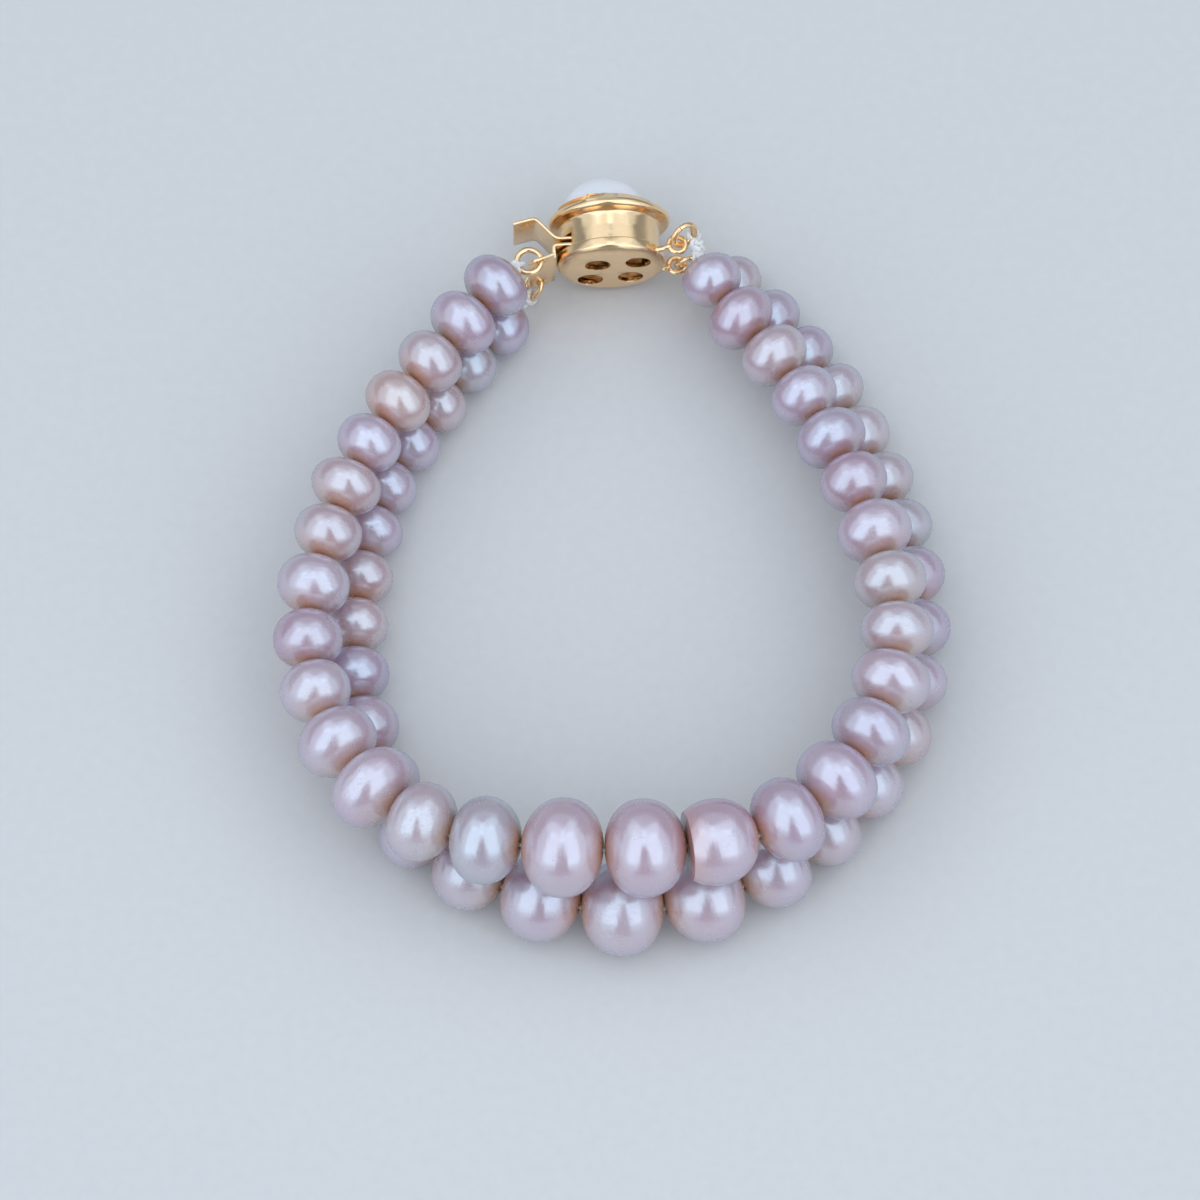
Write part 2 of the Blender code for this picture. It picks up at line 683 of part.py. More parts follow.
def build_thumb_leaf():
    """The springy leaf over the tongue, which ends outside in a bent thumb tab."""
    fold_at = TONGUE_AT + LEAF_SHEET + FOLD_GAP
    corner = (RISER_AT + THUMB_SLANT, THUMB_AT + THUMB_RISE)
    line = [
        (-LEAF_REACH, fold_at),
        (BACK_OUTER_RADIUS, THUMB_AT),
        corner,
        (corner[0] + THUMB_LENGTH, corner[1] - THUMB_DIP),
    ]
    leaf = bent_strip("clasp_thumb_leaf", line, LEAF_WIDTH)
    leaf.data.materials.append(gilt)


def shade_smooth():
    """Round pieces shade smoothly, and their real edges stay sharp."""
    for obj in bracelet.objects:
        obj.data.shade_smooth()
        obj.data.set_sharp_from_angle(angle=SMOOTH_BELOW)


def centre_on_origin():
    """Moves the whole bracelet so that the origin is under the middle of its box, on the floor."""
    bpy.context.view_layer.update()
    graph = bpy.context.evaluated_depsgraph_get()
    corners = []
    for obj in bracelet.objects:
        mesh = obj.evaluated_get(graph).to_mesh()
        corners += [obj.matrix_world @ vertex.co for vertex in mesh.vertices]
        obj.evaluated_get(graph).to_mesh_clear()
    low, high = ([edge(corner[axis] for corner in corners) for axis in range(3)] for edge in (min, max))
    middle = Vector(((low[0] + high[0]) / 2, (low[1] + high[1]) / 2, low[2]))
    for obj in [*bracelet.objects, *cutters.objects]:
        obj.matrix_world = Matrix.Translation(-middle) @ obj.matrix_world


clear_scene()
bracelet = new_collection("pearl_bracelet")
cutters = new_collection("cutters", hidden=True)
nacre = {
    "upper": material("upper nacre", (0.78, 0.66, 0.66), 0.22),
    "lower": material("lower nacre", (0.76, 0.67, 0.68), 0.24),
}
gilt = material("yellow gold plate", (0.88, 0.62, 0.28), 0.18, metallic=1.0)
white_stone = material("white cabochon", (0.88, 0.86, 0.90), 0.25)

build_strings()
build_clasp_body()
build_clasp_back()
build_cabochon()
build_tongue()
build_thumb_leaf()
shade_smooth()
centre_on_origin()
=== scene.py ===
"""Looks of a two-strand pearl bracelet on a plain pale floor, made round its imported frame.

Every route and size below is the frame's own, in metres: the clasp's axes come from the mount
on its back, and the two strings follow the points that the frame was modelled from.
"""

import json
import math
import random

import bmesh
import bpy
import numpy as np
from mathutils import Matrix, Vector, noise


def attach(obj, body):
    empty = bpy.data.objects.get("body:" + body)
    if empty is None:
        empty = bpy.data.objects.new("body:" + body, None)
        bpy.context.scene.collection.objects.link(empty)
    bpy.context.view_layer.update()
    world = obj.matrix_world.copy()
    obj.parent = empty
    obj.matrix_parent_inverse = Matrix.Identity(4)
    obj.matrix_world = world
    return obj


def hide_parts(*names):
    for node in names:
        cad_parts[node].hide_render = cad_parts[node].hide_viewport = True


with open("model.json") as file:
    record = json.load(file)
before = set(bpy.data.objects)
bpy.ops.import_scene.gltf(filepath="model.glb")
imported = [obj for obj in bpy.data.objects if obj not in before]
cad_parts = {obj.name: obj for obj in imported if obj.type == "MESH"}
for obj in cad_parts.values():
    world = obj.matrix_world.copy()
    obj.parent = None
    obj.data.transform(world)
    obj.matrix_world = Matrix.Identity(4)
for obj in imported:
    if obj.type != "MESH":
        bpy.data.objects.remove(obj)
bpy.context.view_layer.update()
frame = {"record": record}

MM = 0.001

# Camera: where the middle of the view meets the floor, and how it looks there
VIEW_TARGET = Vector((-1.205 * MM, -1.645 * MM, 0.0))
VIEW_ELEVATION = math.radians(66.0)
VIEW_DISTANCE = 1.0
VIEW_LENS = 315.0

# Lights: degrees away from the camera's axis, metres and watts
PANEL_SPREAD = 37.0
PANEL_SLANT = 27.0
PANEL_WIDTH = 0.72
PANEL_DISTANCE = 0.6
# Two layers make each panel brightest beside the gap: width, height and power
PANEL_LAYERS = [(0.5, 0.86, 1.05), (0.9, 1.6, 2.9)]
TOP_PANEL = (1.1, 0.7, 0.75)
TOP_PANEL_RISE = 54.0
PANEL_COLOUR = (0.79, 0.885, 1.0)
FLOOR_REACH = 1.5
HORIZON_LIGHT = 0.42
ZENITH_LIGHT = 0.2

# Pearls
LOOP_DEPTH = 66.0 * MM
LARGEST_PEARL = 9.8 * MM
NECK_GAP = 0.1 * MM
STRAND_GAP = 0.2 * MM
BUTTON_POWER = 2.35
OUTLINE_POWER = 2.12
UPPER_END_REACH = (0.9 * MM, 2.8 * MM)
LOWER_END_REACH = (2.1 * MM, 1.5 * MM)
ROUTE_STEPS = 24
NESTLE_PASSES = 4
PEARL_SIDES = 56
PEARL_STATIONS = 30
DRILL_RADIUS = 0.3 * MM
DRILL_DEPTH = 0.7 * MM

# Thread
PLY_RADIUS = 0.15 * MM
PLY_OFFSET = 0.13 * MM
PLY_PITCH = 1.1 * MM
THREAD_CORE_RADIUS = 0.2 * MM
THREAD_LOOP_RADIUS = 0.6 * MM
KNOT_SIZE = 0.36 * MM

# Clasp
FLANGE_RADIUS = 5.85 * MM
FLANGE_BEAD = 0.42 * MM
FLANGE_AT = 4.65 * MM
CASE_RADIUS = 4.78 * MM
CASE_SHEET = 0.32 * MM
BEZEL_HEIGHT = 1.3 * MM
BEZEL_LIP = 0.3 * MM
# The bezel strip's lap: its step outward, where it starts and how fast it fades
LAP_STEP = 0.3 * MM
LAP_START = math.radians(64)
LAP_FADE = math.radians(40)
CABOCHON_RADIUS = 4.05 * MM
CABOCHON_HEIGHT = 4.35 * MM
STONE_SHIFT = 0.5 * MM
FIT_GAP = 0.12 * MM
BACK_SHEET = 0.4 * MM
BACK_BULGE = 0.3 * MM
SKIRT_SHEET = 0.3 * MM
SKIRT_HEIGHT = 1.2 * MM
WINDOW_RADIUS = 1.22 * MM
WINDOWS_MIDDLE = Vector((-0.25 * MM, -0.13 * MM, 0.0))
WINDOW_STEP_ACROSS = Vector((3.88 * MM, -0.32 * MM, 0.0))
WINDOW_STEP_UP = Vector((-0.71 * MM, 3.55 * MM, 0.0))
LEAF_SHEET = 0.3 * MM
LEAF_WIDTH = 5.4 * MM
LEAF_GAP = 0.35 * MM
LEAF_REACH = 3.0 * MM
FOLD_GAP = 0.3 * MM
SLOT_SIDE_GAP = 0.25 * MM
SLOT_FACE_GAP = 0.3 * MM
EYE_STRIP_WIDTH = 6.7 * MM
EYE_STRIP_LENGTH = 2.5 * MM
EYE_STRIP_DROP = 0.85 * MM
CORNER_BLOCK = 1.1 * MM
CORNER_TRIM = 0.35 * MM
THUMB_RISE = 2.17 * MM
THUMB_SLANT = 1.65 * MM
THUMB_LENGTH = 2.15 * MM
THUMB_DIP = 0.53 * MM
EYE_SPACING = 5.3 * MM
EYE_HOLE_RADIUS = 0.5 * MM
EYE_EDGE = 1.15 * MM
SOLDERED_EYE_RADIUS = 0.78 * MM
EYE_WIRE_RADIUS = 0.27 * MM
SOLDERED_EYE_OUT = 1.15 * MM
SOLDERED_EYE_RISE = 0.45 * MM
EYE_STEM_DEPTH = 0.19 * MM
RING_RADIUS = 1.18 * MM
RING_WIRE_RADIUS = 0.29 * MM
# Angles: where a jump ring's joint lies, and half of its hairline gap
RING_JOINT_AT = math.radians(140)
RING_JOINT_GAP = 0.02

BACK_OUTER_RADIUS = CASE_RADIUS + FIT_GAP + SKIRT_SHEET
CASE_INNER_RADIUS = CASE_RADIUS - CASE_SHEET
TONGUE_AT = BACK_SHEET + SLOT_FACE_GAP + LEAF_SHEET + SKIRT_HEIGHT / 2
THUMB_AT = TONGUE_AT + LEAF_SHEET + LEAF_GAP
RISER_AT = BACK_OUTER_RADIUS + FIT_GAP + LEAF_SHEET / 2
EYE_STRIP_AT = BACK_SHEET

# The strings' routes as shares of LOOP_DEPTH from the middle of the clasp's back
LOWER_ROUTE = [
    (-0.2106, -0.1364), (-0.3288, -0.3333), (-0.3697, -0.5530), (-0.3576, -0.7136),
    (-0.2833, -0.8788), (-0.1000, -0.9864), (0.0167, -1.0000), (0.1318, -0.9894),
    (0.3015, -0.8773), (0.4091, -0.7242), (0.4333, -0.5621), (0.4121, -0.3985),
    (0.3197, -0.1818), (0.2288, -0.0606), (0.1773, -0.0061),
]
UPPER_ROUTE = [
    (-0.2136, -0.1136), (-0.3500, -0.3061), (-0.4061, -0.4455), (-0.4364, -0.6121),
    (-0.3924, -0.7803), (-0.2682, -0.9182), (-0.0697, -0.9621), (0.0485, -0.9636),
    (0.2439, -0.9227), (0.3667, -0.7773), (0.4091, -0.6121), (0.3500, -0.3727),
    (0.2379, -0.1636), (0.1364, -0.0394),
]

# Each jump ring: the directions from its eye to its middle, square to it, and from its middle
# to its thread, in the clasp's axes
RING_POSES = {
    ("left", "upper"): ((1.0, 0.0, 0.0), (0.0, 1.0, 0.0), (0.88, 0.0, -0.48)),
    ("left", "lower"): ((0.62, -0.78, 0.0), (0.78, 0.62, 0.0), (0.21, -0.27, -0.94)),
    ("right", "upper"): ((-0.6, 0.5, 0.62), (-0.52, 0.35, -0.78), (-0.76, -0.61, 0.24)),
    ("right", "lower"): ((-0.9, 0.0, 0.1), (0.1, 0.0, 0.9), (-0.9, -0.3, 0.1)),
}

# Nacre tones: the body's colour, and the colour round the drill holes, which is painted shade and
# painted warm glow where the pearls meet
TONES = {
    "pink": ((0.67, 0.37, 0.46), (0.72, 0.32, 0.30)),
    "pale_pink": ((0.70, 0.41, 0.49), (0.76, 0.39, 0.35)),
    "peach": ((0.71, 0.40, 0.42), (0.78, 0.37, 0.28)),
    "apricot": ((0.70, 0.39, 0.35), (0.78, 0.32, 0.21)),
    "lavender": ((0.62, 0.36, 0.46), (0.63, 0.29, 0.31)),
    "mauve": ((0.62, 0.35, 0.46), (0.64, 0.28, 0.30)),
    "rose": ((0.60, 0.30, 0.39), (0.62, 0.24, 0.26)),
    "beige": ((0.68, 0.40, 0.44), (0.71, 0.37, 0.31)),
    "khaki": ((0.64, 0.39, 0.41), (0.64, 0.35, 0.28)),
    "ivory": ((0.70, 0.44, 0.47), (0.73, 0.40, 0.36)),
    "lilac": ((0.66, 0.39, 0.49), (0.68, 0.34, 0.37)),
    "green_grey": ((0.60, 0.40, 0.45), (0.60, 0.36, 0.33)),
    "violet": ((0.62, 0.36, 0.47), (0.61, 0.30, 0.34)),
}

# One row for each pair of pearls: upper diameter, upper thickness, lower diameter, lower
# thickness, as shares of LARGEST_PEARL, then the upper pearl's and the lower pearl's tone
PEARLS = [
    (0.69, 0.51, 0.61, 0.54, "lavender", "violet"),
    (0.70, 0.52, 0.61, 0.53, "lavender", "green_grey"),
    (0.66, 0.53, 0.62, 0.51, "peach", "peach"),
    (0.67, 0.53, 0.63, 0.52, "apricot", "lavender"),
    (0.64, 0.53, 0.63, 0.52, "lilac", "mauve"),
    (0.70, 0.51, 0.65, 0.50, "peach", "mauve"),
    (0.67, 0.54, 0.65, 0.51, "peach", "peach"),
    (0.71, 0.59, 0.67, 0.53, "pale_pink", "peach"),
    (0.68, 0.58, 0.68, 0.54, "rose", "violet"),
    (0.69, 0.59, 0.71, 0.61, "pale_pink", "lilac"),
    (0.79, 0.62, 0.74, 0.62, "pale_pink", "pink"),
    (0.86, 0.62, 0.78, 0.64, "pink", "lilac"),
    (0.80, 0.64, 0.80, 0.72, "beige", "beige"),
    (0.85, 0.69, 0.89, 0.79, "green_grey", "pale_pink"),
    (0.96, 0.80, 0.93, 0.81, "pale_pink", "pale_pink"),
    (0.96, 0.80, 0.89, 0.80, "pink", "pale_pink"),
    (0.84, 0.70, 0.82, 0.69, "pink", "pale_pink"),
    (0.85, 0.66, 0.76, 0.64, "mauve", "beige"),
    (0.83, 0.66, 0.75, 0.63, "mauve", "pale_pink"),
    (0.78, 0.60, 0.72, 0.60, "mauve", "peach"),
    (0.77, 0.58, 0.74, 0.56, "pale_pink", "lilac"),
    (0.71, 0.54, 0.74, 0.56, "beige", "violet"),
    (0.71, 0.56, 0.72, 0.56, "khaki", "mauve"),
    (0.73, 0.59, 0.70, 0.53, "pink", "green_grey"),
    (0.67, 0.56, 0.68, 0.53, "rose", "ivory"),
    (0.70, 0.53, 0.66, 0.55, "mauve", "ivory"),
    (0.67, 0.53, 0.66, 0.50, "lilac", "beige"),
    (0.67, 0.53, 0.64, 0.50, "beige", "lavender"),
    (0.69, 0.52, 0.62, 0.53, "rose", "violet"),
    (0.60, 0.52, 0.61, 0.52, "lavender", "beige"),
]

# Pearls with a shape of their own, by level and number: the side that is cut flat, how much of
# it, and the pull of the widest place along the thread
CUT_FLAT = {("upper", 17): (-1, 0.64)}
LEANING = {("lower", 16): 0.1, ("lower", 17): 0.12, ("upper", 15): 0.02, ("upper", 16): -0.04}
# Ringed pearls: where growth rings lie along the thread
RINGED = {("lower", 8): (-0.62, -0.48, -0.36), ("upper", 12): (0.1, 0.2), ("lower", 14): (0.5,)}


def clasp_frame():
    """The clasp's axes from the middle of its back: X to the tongue, Y up, Z along its axis."""
    mount = frame["record"]["mounts"][0]
    along = -Vector(mount["axis"]).normalized()
    to_tongue = Vector((0, 0, 1)).cross(along).normalized()
    up = along.cross(to_tongue)
    turn = Matrix((to_tongue, up, along)).transposed().to_4x4()
    return Matrix.Translation(Vector(mount["pos_m"]) + along * BACK_BULGE) @ turn


CLASP = clasp_frame()
CLASP_TURN = CLASP.to_3x3()
BACK_MIDDLE = CLASP.translation.copy()


# Meshes


def add_piece(name, mesh, body, stands_for=None):
    """Puts a mesh in the scene as a piece that rides on a body."""
    piece = bpy.data.objects.new(name, mesh)
    bpy.context.scene.collection.objects.link(piece)
    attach(piece, body)
    if stands_for:
        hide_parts(stands_for)
    return piece


def mesh_of(name, points, faces, material, sharp=None):
    """A smooth mesh, with edges sharper than an angle left sharp."""
    mesh = bpy.data.meshes.new(name)
    mesh.from_pydata([tuple(point) for point in points], [], [tuple(face) for face in faces])
    mesh.materials.append(material)
    mesh.shade_smooth()
    if sharp:
        mesh.set_sharp_from_angle(angle=math.radians(sharp))
    return mesh


def joined(parts):
    """One list of points and faces from several."""
    points, faces = [], []
    for some_points, some_faces in parts:
        start = len(points)
        points.extend(some_points)
        faces.extend([tuple(start + corner for corner in face) for face in some_faces])
    return points, faces


def tube(centres, radii, sides=10, closed=False):
    """Points and faces of a round tube along centres, closed on itself or capped."""
    count = len(centres)
    if not hasattr(radii, "__len__"):
        radii = [radii] * count
    tangents = []
    for index in range(count):
        before = centres[index - 1] if index or closed else centres[0]
        after = centres[(index + 1) % count] if index < count - 1 or closed else centres[-1]
        tangents.append((after - before).normalized())
    side = tangents[0].orthogonal().normalized()
    frames = []
    for tangent in tangents:
        side = (side - tangent * side.dot(tangent)).normalized()
        frames.append((side.copy(), tangent.cross(side)))
    twist = 0.0
    if closed:
        first, second = frames[0]
        last = side - tangents[0] * side.dot(tangents[0])
        twist = math.atan2(last.dot(second), last.dot(first))
    points, faces = [], []
    for index, (centre, radius) in enumerate(zip(centres, radii)):
        across, up = frames[index]
        ease = -twist * index / count
        for step in range(sides):
            angle = math.tau * step / sides + ease
            points.append(centre + (across * math.cos(angle) + up * math.sin(angle)) * radius)
    for index in range(count if closed else count - 1):
        following = (index + 1) % count
        for step in range(sides):
            beside = (step + 1) % sides
            a, b = index * sides, following * sides
            faces.append((a + step, a + beside, b + beside, b + step))
    if not closed:
        faces.append(tuple(range(sides))[::-1])
        faces.append(tuple(range((count - 1) * sides, count * sides)))
    return points, faces


def ring_line(centre, normal, radius, steps):
    """Points round a circle."""
    first = normal.orthogonal().normalized()
    second = normal.cross(first).normalized()
    angles = [math.tau * i / steps for i in range(steps)]
    return [centre + (first * math.cos(a) + second * math.sin(a)) * radius for a in angles]


def rounded(profile, radius, cuts=3):
    """A profile of (radius, height) corners with each inner corner rounded."""
    points = [Vector(corner) for corner in profile]
    result = [points[0]]
    for before, corner, after in zip(points, points[1:], points[2:]):
        reach = min(radius, (corner - before).length * 0.45, (after - corner).length * 0.45)
        start = corner + (before - corner).normalized() * reach
        end = corner + (after - corner).normalized() * reach
        for step in range(cuts + 1):
            t = step / cuts
            result.append(start.lerp(corner, t).lerp(corner.lerp(end, t), t))
    return [*result, points[-1]]


def turned(profile, steps):
    """Points and faces of a profile turned round the clasp's axis, in the clasp's own axes."""
    points, faces, rows = [], [], []
    for radius, height in profile:
        if radius < 1e-7:
            rows.append([len(points)] * steps)
            points.append(Vector((0, 0, height)))
            continue
        rows.append(list(range(len(points), len(points) + steps)))
        for step in range(steps):
            angle = math.tau * step / steps
            points.append(Vector((radius * math.cos(angle), radius * math.sin(angle), height)))
    for low, high in zip(rows, rows[1:]):
        for step in range(steps):
            beside = (step + 1) % steps
            face = (low[step], low[beside], high[beside], high[step])
            face = tuple(dict.fromkeys(face))
            if len(face) > 2:
                faces.append(face)
    return points, faces


def strip(line, width, bend=0.35 * MM):
    """Points and faces of a strip of leaf metal bent along (x, z) points, edges along Y."""
    line = rounded([(x, z) for x, z in line], bend, cuts=4)
    left, right = [], []
    for index, point in enumerate(line):
        before = line[max(index - 1, 0)]
        after = line[min(index + 1, len(line) - 1)]
        along = (after - before).normalized()
        side = Vector((-along.y, along.x)) * (LEAF_SHEET / 2)
        left.append(point + side)
        right.append(point - side)
    outline = left + right[::-1]
    count = len(outline)
    points = [Vector((p.x, y, p.y)) for y in (-width / 2, width / 2) for p in outline]
    faces = [(i, (i + 1) % count, count + (i + 1) % count, count + i) for i in range(count)]
    half = len(left)
    for i in range(half - 1):
        quad = (i, i + 1, count - 2 - i, count - 1 - i)
        faces.append(quad)
        faces.append(tuple(count + corner for corner in quad)[::-1])
    return points, faces


def worked(name, points, faces, material, cutters=(), bevel=0.05 * MM, sharp=35):
    """A mesh in the clasp's axes with cutters taken out of it and its sharp edges softened."""
    mesh = bpy.data.meshes.new(name)
    mesh.from_pydata([tuple(point) for point in points], [], [tuple(face) for face in faces])
    shape = bmesh.new()
    shape.from_mesh(mesh)
    bmesh.ops.remove_doubles(shape, verts=shape.verts, dist=0.0005 * MM)
    bmesh.ops.recalc_face_normals(shape, faces=shape.faces)
    shape.to_mesh(mesh)
    shape.free()
    helper = bpy.data.objects.new(name + " work", mesh)
    bpy.context.scene.collection.objects.link(helper)
    made = [helper]
    for number, (cutter_points, cutter_faces) in enumerate(cutters):
        cutter_mesh = bpy.data.meshes.new(f"{name} cutter {number}")
        cutter_mesh.from_pydata([tuple(p) for p in cutter_points], [], cutter_faces)
        shape = bmesh.new()
        shape.from_mesh(cutter_mesh)
        bmesh.ops.recalc_face_normals(shape, faces=shape.faces)
        shape.to_mesh(cutter_mesh)
        shape.free()
        cutter = bpy.data.objects.new(f"{name} cutter {number}", cutter_mesh)
        bpy.context.scene.collection.objects.link(cutter)
        made.append(cutter)
        modifier = helper.modifiers.new("cut", "BOOLEAN")
        modifier.operation = "DIFFERENCE"
        modifier.solver = "EXACT"
        modifier.object = cutter
    if bevel:
        modifier = helper.modifiers.new("soften", "BEVEL")
        modifier.width = bevel
        modifier.segments = 2
        modifier.limit_method = "ANGLE"
        modifier.angle_limit = math.radians(sharp)
        modifier.harden_normals = False
    bpy.context.view_layer.update()
    graph = bpy.context.evaluated_depsgraph_get()
    result = bpy.data.meshes.new_from_object(helper.evaluated_get(graph))
    for obj in made:
        bpy.data.objects.remove(obj)
    result.name = name
    result.transform(CLASP)
    result.materials.clear()
    result.materials.append(material)
    result.shade_smooth()
    result.set_sharp_from_angle(angle=math.radians(sharp))
    return result


def merge(mesh, extra):
    """Puts a second mesh into the first and removes it."""
    both = bmesh.new()
    both.from_mesh(mesh)
    both.from_mesh(extra)
    both.to_mesh(mesh)
    both.free()
    bpy.data.meshes.remove(extra)


def bar(start, end, radius, sides=40):
    """A plain round bar in the clasp's axes, for a cutter."""
    return tube([start, end], radius, sides)


def block(low, high):
    """A block in the clasp's axes, for a cutter."""
    spans = list(zip(low, high))
    points = [Vector((x, y, z)) for x in spans[0] for y in spans[1] for z in spans[2]]
    faces = [(0, 1, 3, 2), (4, 6, 7, 5), (0, 4, 5, 1), (2, 3, 7, 6), (0, 2, 6, 4), (1, 5, 7, 3)]
    return points, faces


# Where the pearls lie, as in the frame


def smooth_line(points):
    """A finely stepped curve through the points, on centripetal spans."""
    first = points[0] * 2 - points[1]
    last = points[-1] * 2 - points[-2]
    guides = [first, *points, last]
    line = []
    for p0, p1, p2, p3 in zip(guides, guides[1:], guides[2:], guides[3:]):
        t1 = (p1 - p0).length ** 0.5
        t2 = t1 + (p2 - p1).length ** 0.5
        t3 = t2 + (p3 - p2).length ** 0.5
        for step in range(ROUTE_STEPS):
            t = t1 + (t2 - t1) * step / ROUTE_STEPS
            a1 = p0 * ((t1 - t) / t1) + p1 * (t / t1)
            a2 = p1 * ((t2 - t) / (t2 - t1)) + p2 * ((t - t1) / (t2 - t1))
            a3 = p2 * ((t3 - t) / (t3 - t2)) + p3 * ((t - t2) / (t3 - t2))
            b1 = a1 * ((t2 - t) / t2) + a2 * (t / t2)
            b2 = a2 * ((t3 - t) / (t3 - t1)) + a3 * ((t - t1) / (t3 - t1))
            line.append(b1 * ((t2 - t) / (t2 - t1)) + b2 * ((t - t1) / (t2 - t1)))
    return [*line, points[-1]]


def divide(line, shares):
    """Points that split a line in the ratio of the shares, its ends included."""
    reach = [0.0]
    for start, end in zip(line, line[1:]):
        reach.append(reach[-1] + (end - start).length)
    cuts, along, index = [], 0.0, 0
    for share in shares[:-1]:
        along += share / sum(shares) * reach[-1]
        while reach[index + 1] < along:
            index += 1
        part = (along - reach[index]) / (reach[index + 1] - reach[index])
        cuts.append(line[index].lerp(line[index + 1], part))
    return [line[0], *cuts, line[-1]]


class Pearl:
    """One button pearl: where the thread enters and leaves it, and its largest radius."""

    def __init__(self, start, end, radius):
        self.start = start
        self.end = end
        self.radius = radius

    @property
    def middle(self):
        return (self.start + self.end) / 2

    @property
    def half(self):
        return ((self.end - self.start).length - NECK_GAP) / 2


class Ring:
    """A jump ring: its centre, the direction square to it and where its thread lies on it."""

    def __init__(self, centre, normal, to_thread):
        self.centre = centre
        self.normal = normal
        self.thread = centre + to_thread * RING_RADIUS


def pearls_along(route, rings, diameters, shares, reaches):
    """Pearls laid flat along a route, which starts and ends near the string's two rings."""
    base = BACK_MIDDLE.to_2d()
    points = [Vector(point) * LOOP_DEPTH + base for point in route]
    ends = []
    for ring, neighbour, reach in zip(rings, (points[0], points[-1]), reaches):
        foot = ring.thread.to_2d()
        ends.append(foot + (neighbour - foot).normalized() * reach)
    line = smooth_line([ends[0], *points, ends[1]])
    cuts = divide(line, shares)
    return [
        Pearl(a.to_3d(), b.to_3d(), share * LARGEST_PEARL / 2)
        for a, b, share in zip(cuts, cuts[1:], diameters)
    ]


def lift(pearls, heights):
    """Sets the pearls at these heights, each one's thread holes halfway to its neighbours'."""
    joints = [(a + b) / 2 for a, b in zip(heights, heights[1:])]
    first = heights[0] * 2 - joints[0]
    last = heights[-1] * 2 - joints[-1]
    joints = [first, *joints, last]
    for pearl, start, end in zip(pearls, joints, joints[1:]):
        pearl.start.z = start
        pearl.end.z = end


def height_over(pearl, below):
    """The height at which a pearl just clears one that lies below it."""
    along = (below.end - below.start).to_2d().normalized()
    offset = (pearl.middle - below.middle).to_2d()
    forward = abs(offset.dot(along)) / (pearl.half + below.half)
    if forward >= 1:
        return 0.0
    across = (offset - along * offset.dot(along)).length
    reach = (pearl.radius + below.radius + STRAND_GAP) * (
        1 - forward**BUTTON_POWER
    ) ** (1 / BUTTON_POWER)
    return below.middle.z + math.sqrt(max(reach**2 - across**2, 0.0))


def nestle(pearls, lower):
    """Lays a string on the lower one: a pearl's rise also lifts the pearls beside it."""
    needed = [max(height_over(pearl, below) for below in lower) for pearl in pearls]
    heights = needed[:]
    for _ in range(NESTLE_PASSES):
        padded = [heights[0], *heights, heights[-1]]
        around = [(a + b) / 2 for a, b in zip(padded, padded[2:])]
        heights = [max(pair) for pair in zip(needed, around)]
    lift(pearls, heights)


def eye_point(side, level):
    """The middle of an eye: side 'left' on the tongue or 'right' on the clasp's back."""
    height = {"upper": 0.5, "lower": -0.5}[level] * EYE_SPACING
    if side == "right":
        out = BACK_OUTER_RADIUS + SOLDERED_EYE_OUT
        return CLASP @ Vector((-out, height, SKIRT_HEIGHT / 2 + SOLDERED_EYE_RISE))
    along = Vector((EYE_STRIP_LENGTH, -EYE_STRIP_DROP)).normalized()
    hole = Vector((RISER_AT, EYE_STRIP_AT)) + along * (EYE_STRIP_LENGTH - EYE_EDGE)
    return CLASP @ Vector((hole.x, height, hole.y))


def ring_at(side, level):
    """The jump ring whose wire passes through the middle of an eye."""
    ways = [CLASP_TURN @ Vector(way).normalized() for way in RING_POSES[side, level]]
    to_middle, square, to_thread = ways
    return Ring(eye_point(side, level) + to_middle * RING_RADIUS, square, to_thread)


def lay_strings():
    """The pearls of both strings and their jump rings, where the frame has them."""
    upper_wide, upper_thick, lower_wide, lower_thick, _, _ = zip(*PEARLS)
    rings = {}
    for level in ("upper", "lower"):
        rings[level] = [ring_at("left", level), ring_at("right", level)]
    lower = pearls_along(LOWER_ROUTE, rings["lower"], lower_wide, lower_thick, LOWER_END_REACH)
    lift(lower, [pearl.radius for pearl in lower])
    upper = pearls_along(UPPER_ROUTE, rings["upper"], upper_wide, upper_thick, UPPER_END_REACH)
    nestle(upper, lower)
    return {"upper": upper, "lower": lower}, rings


# Materials


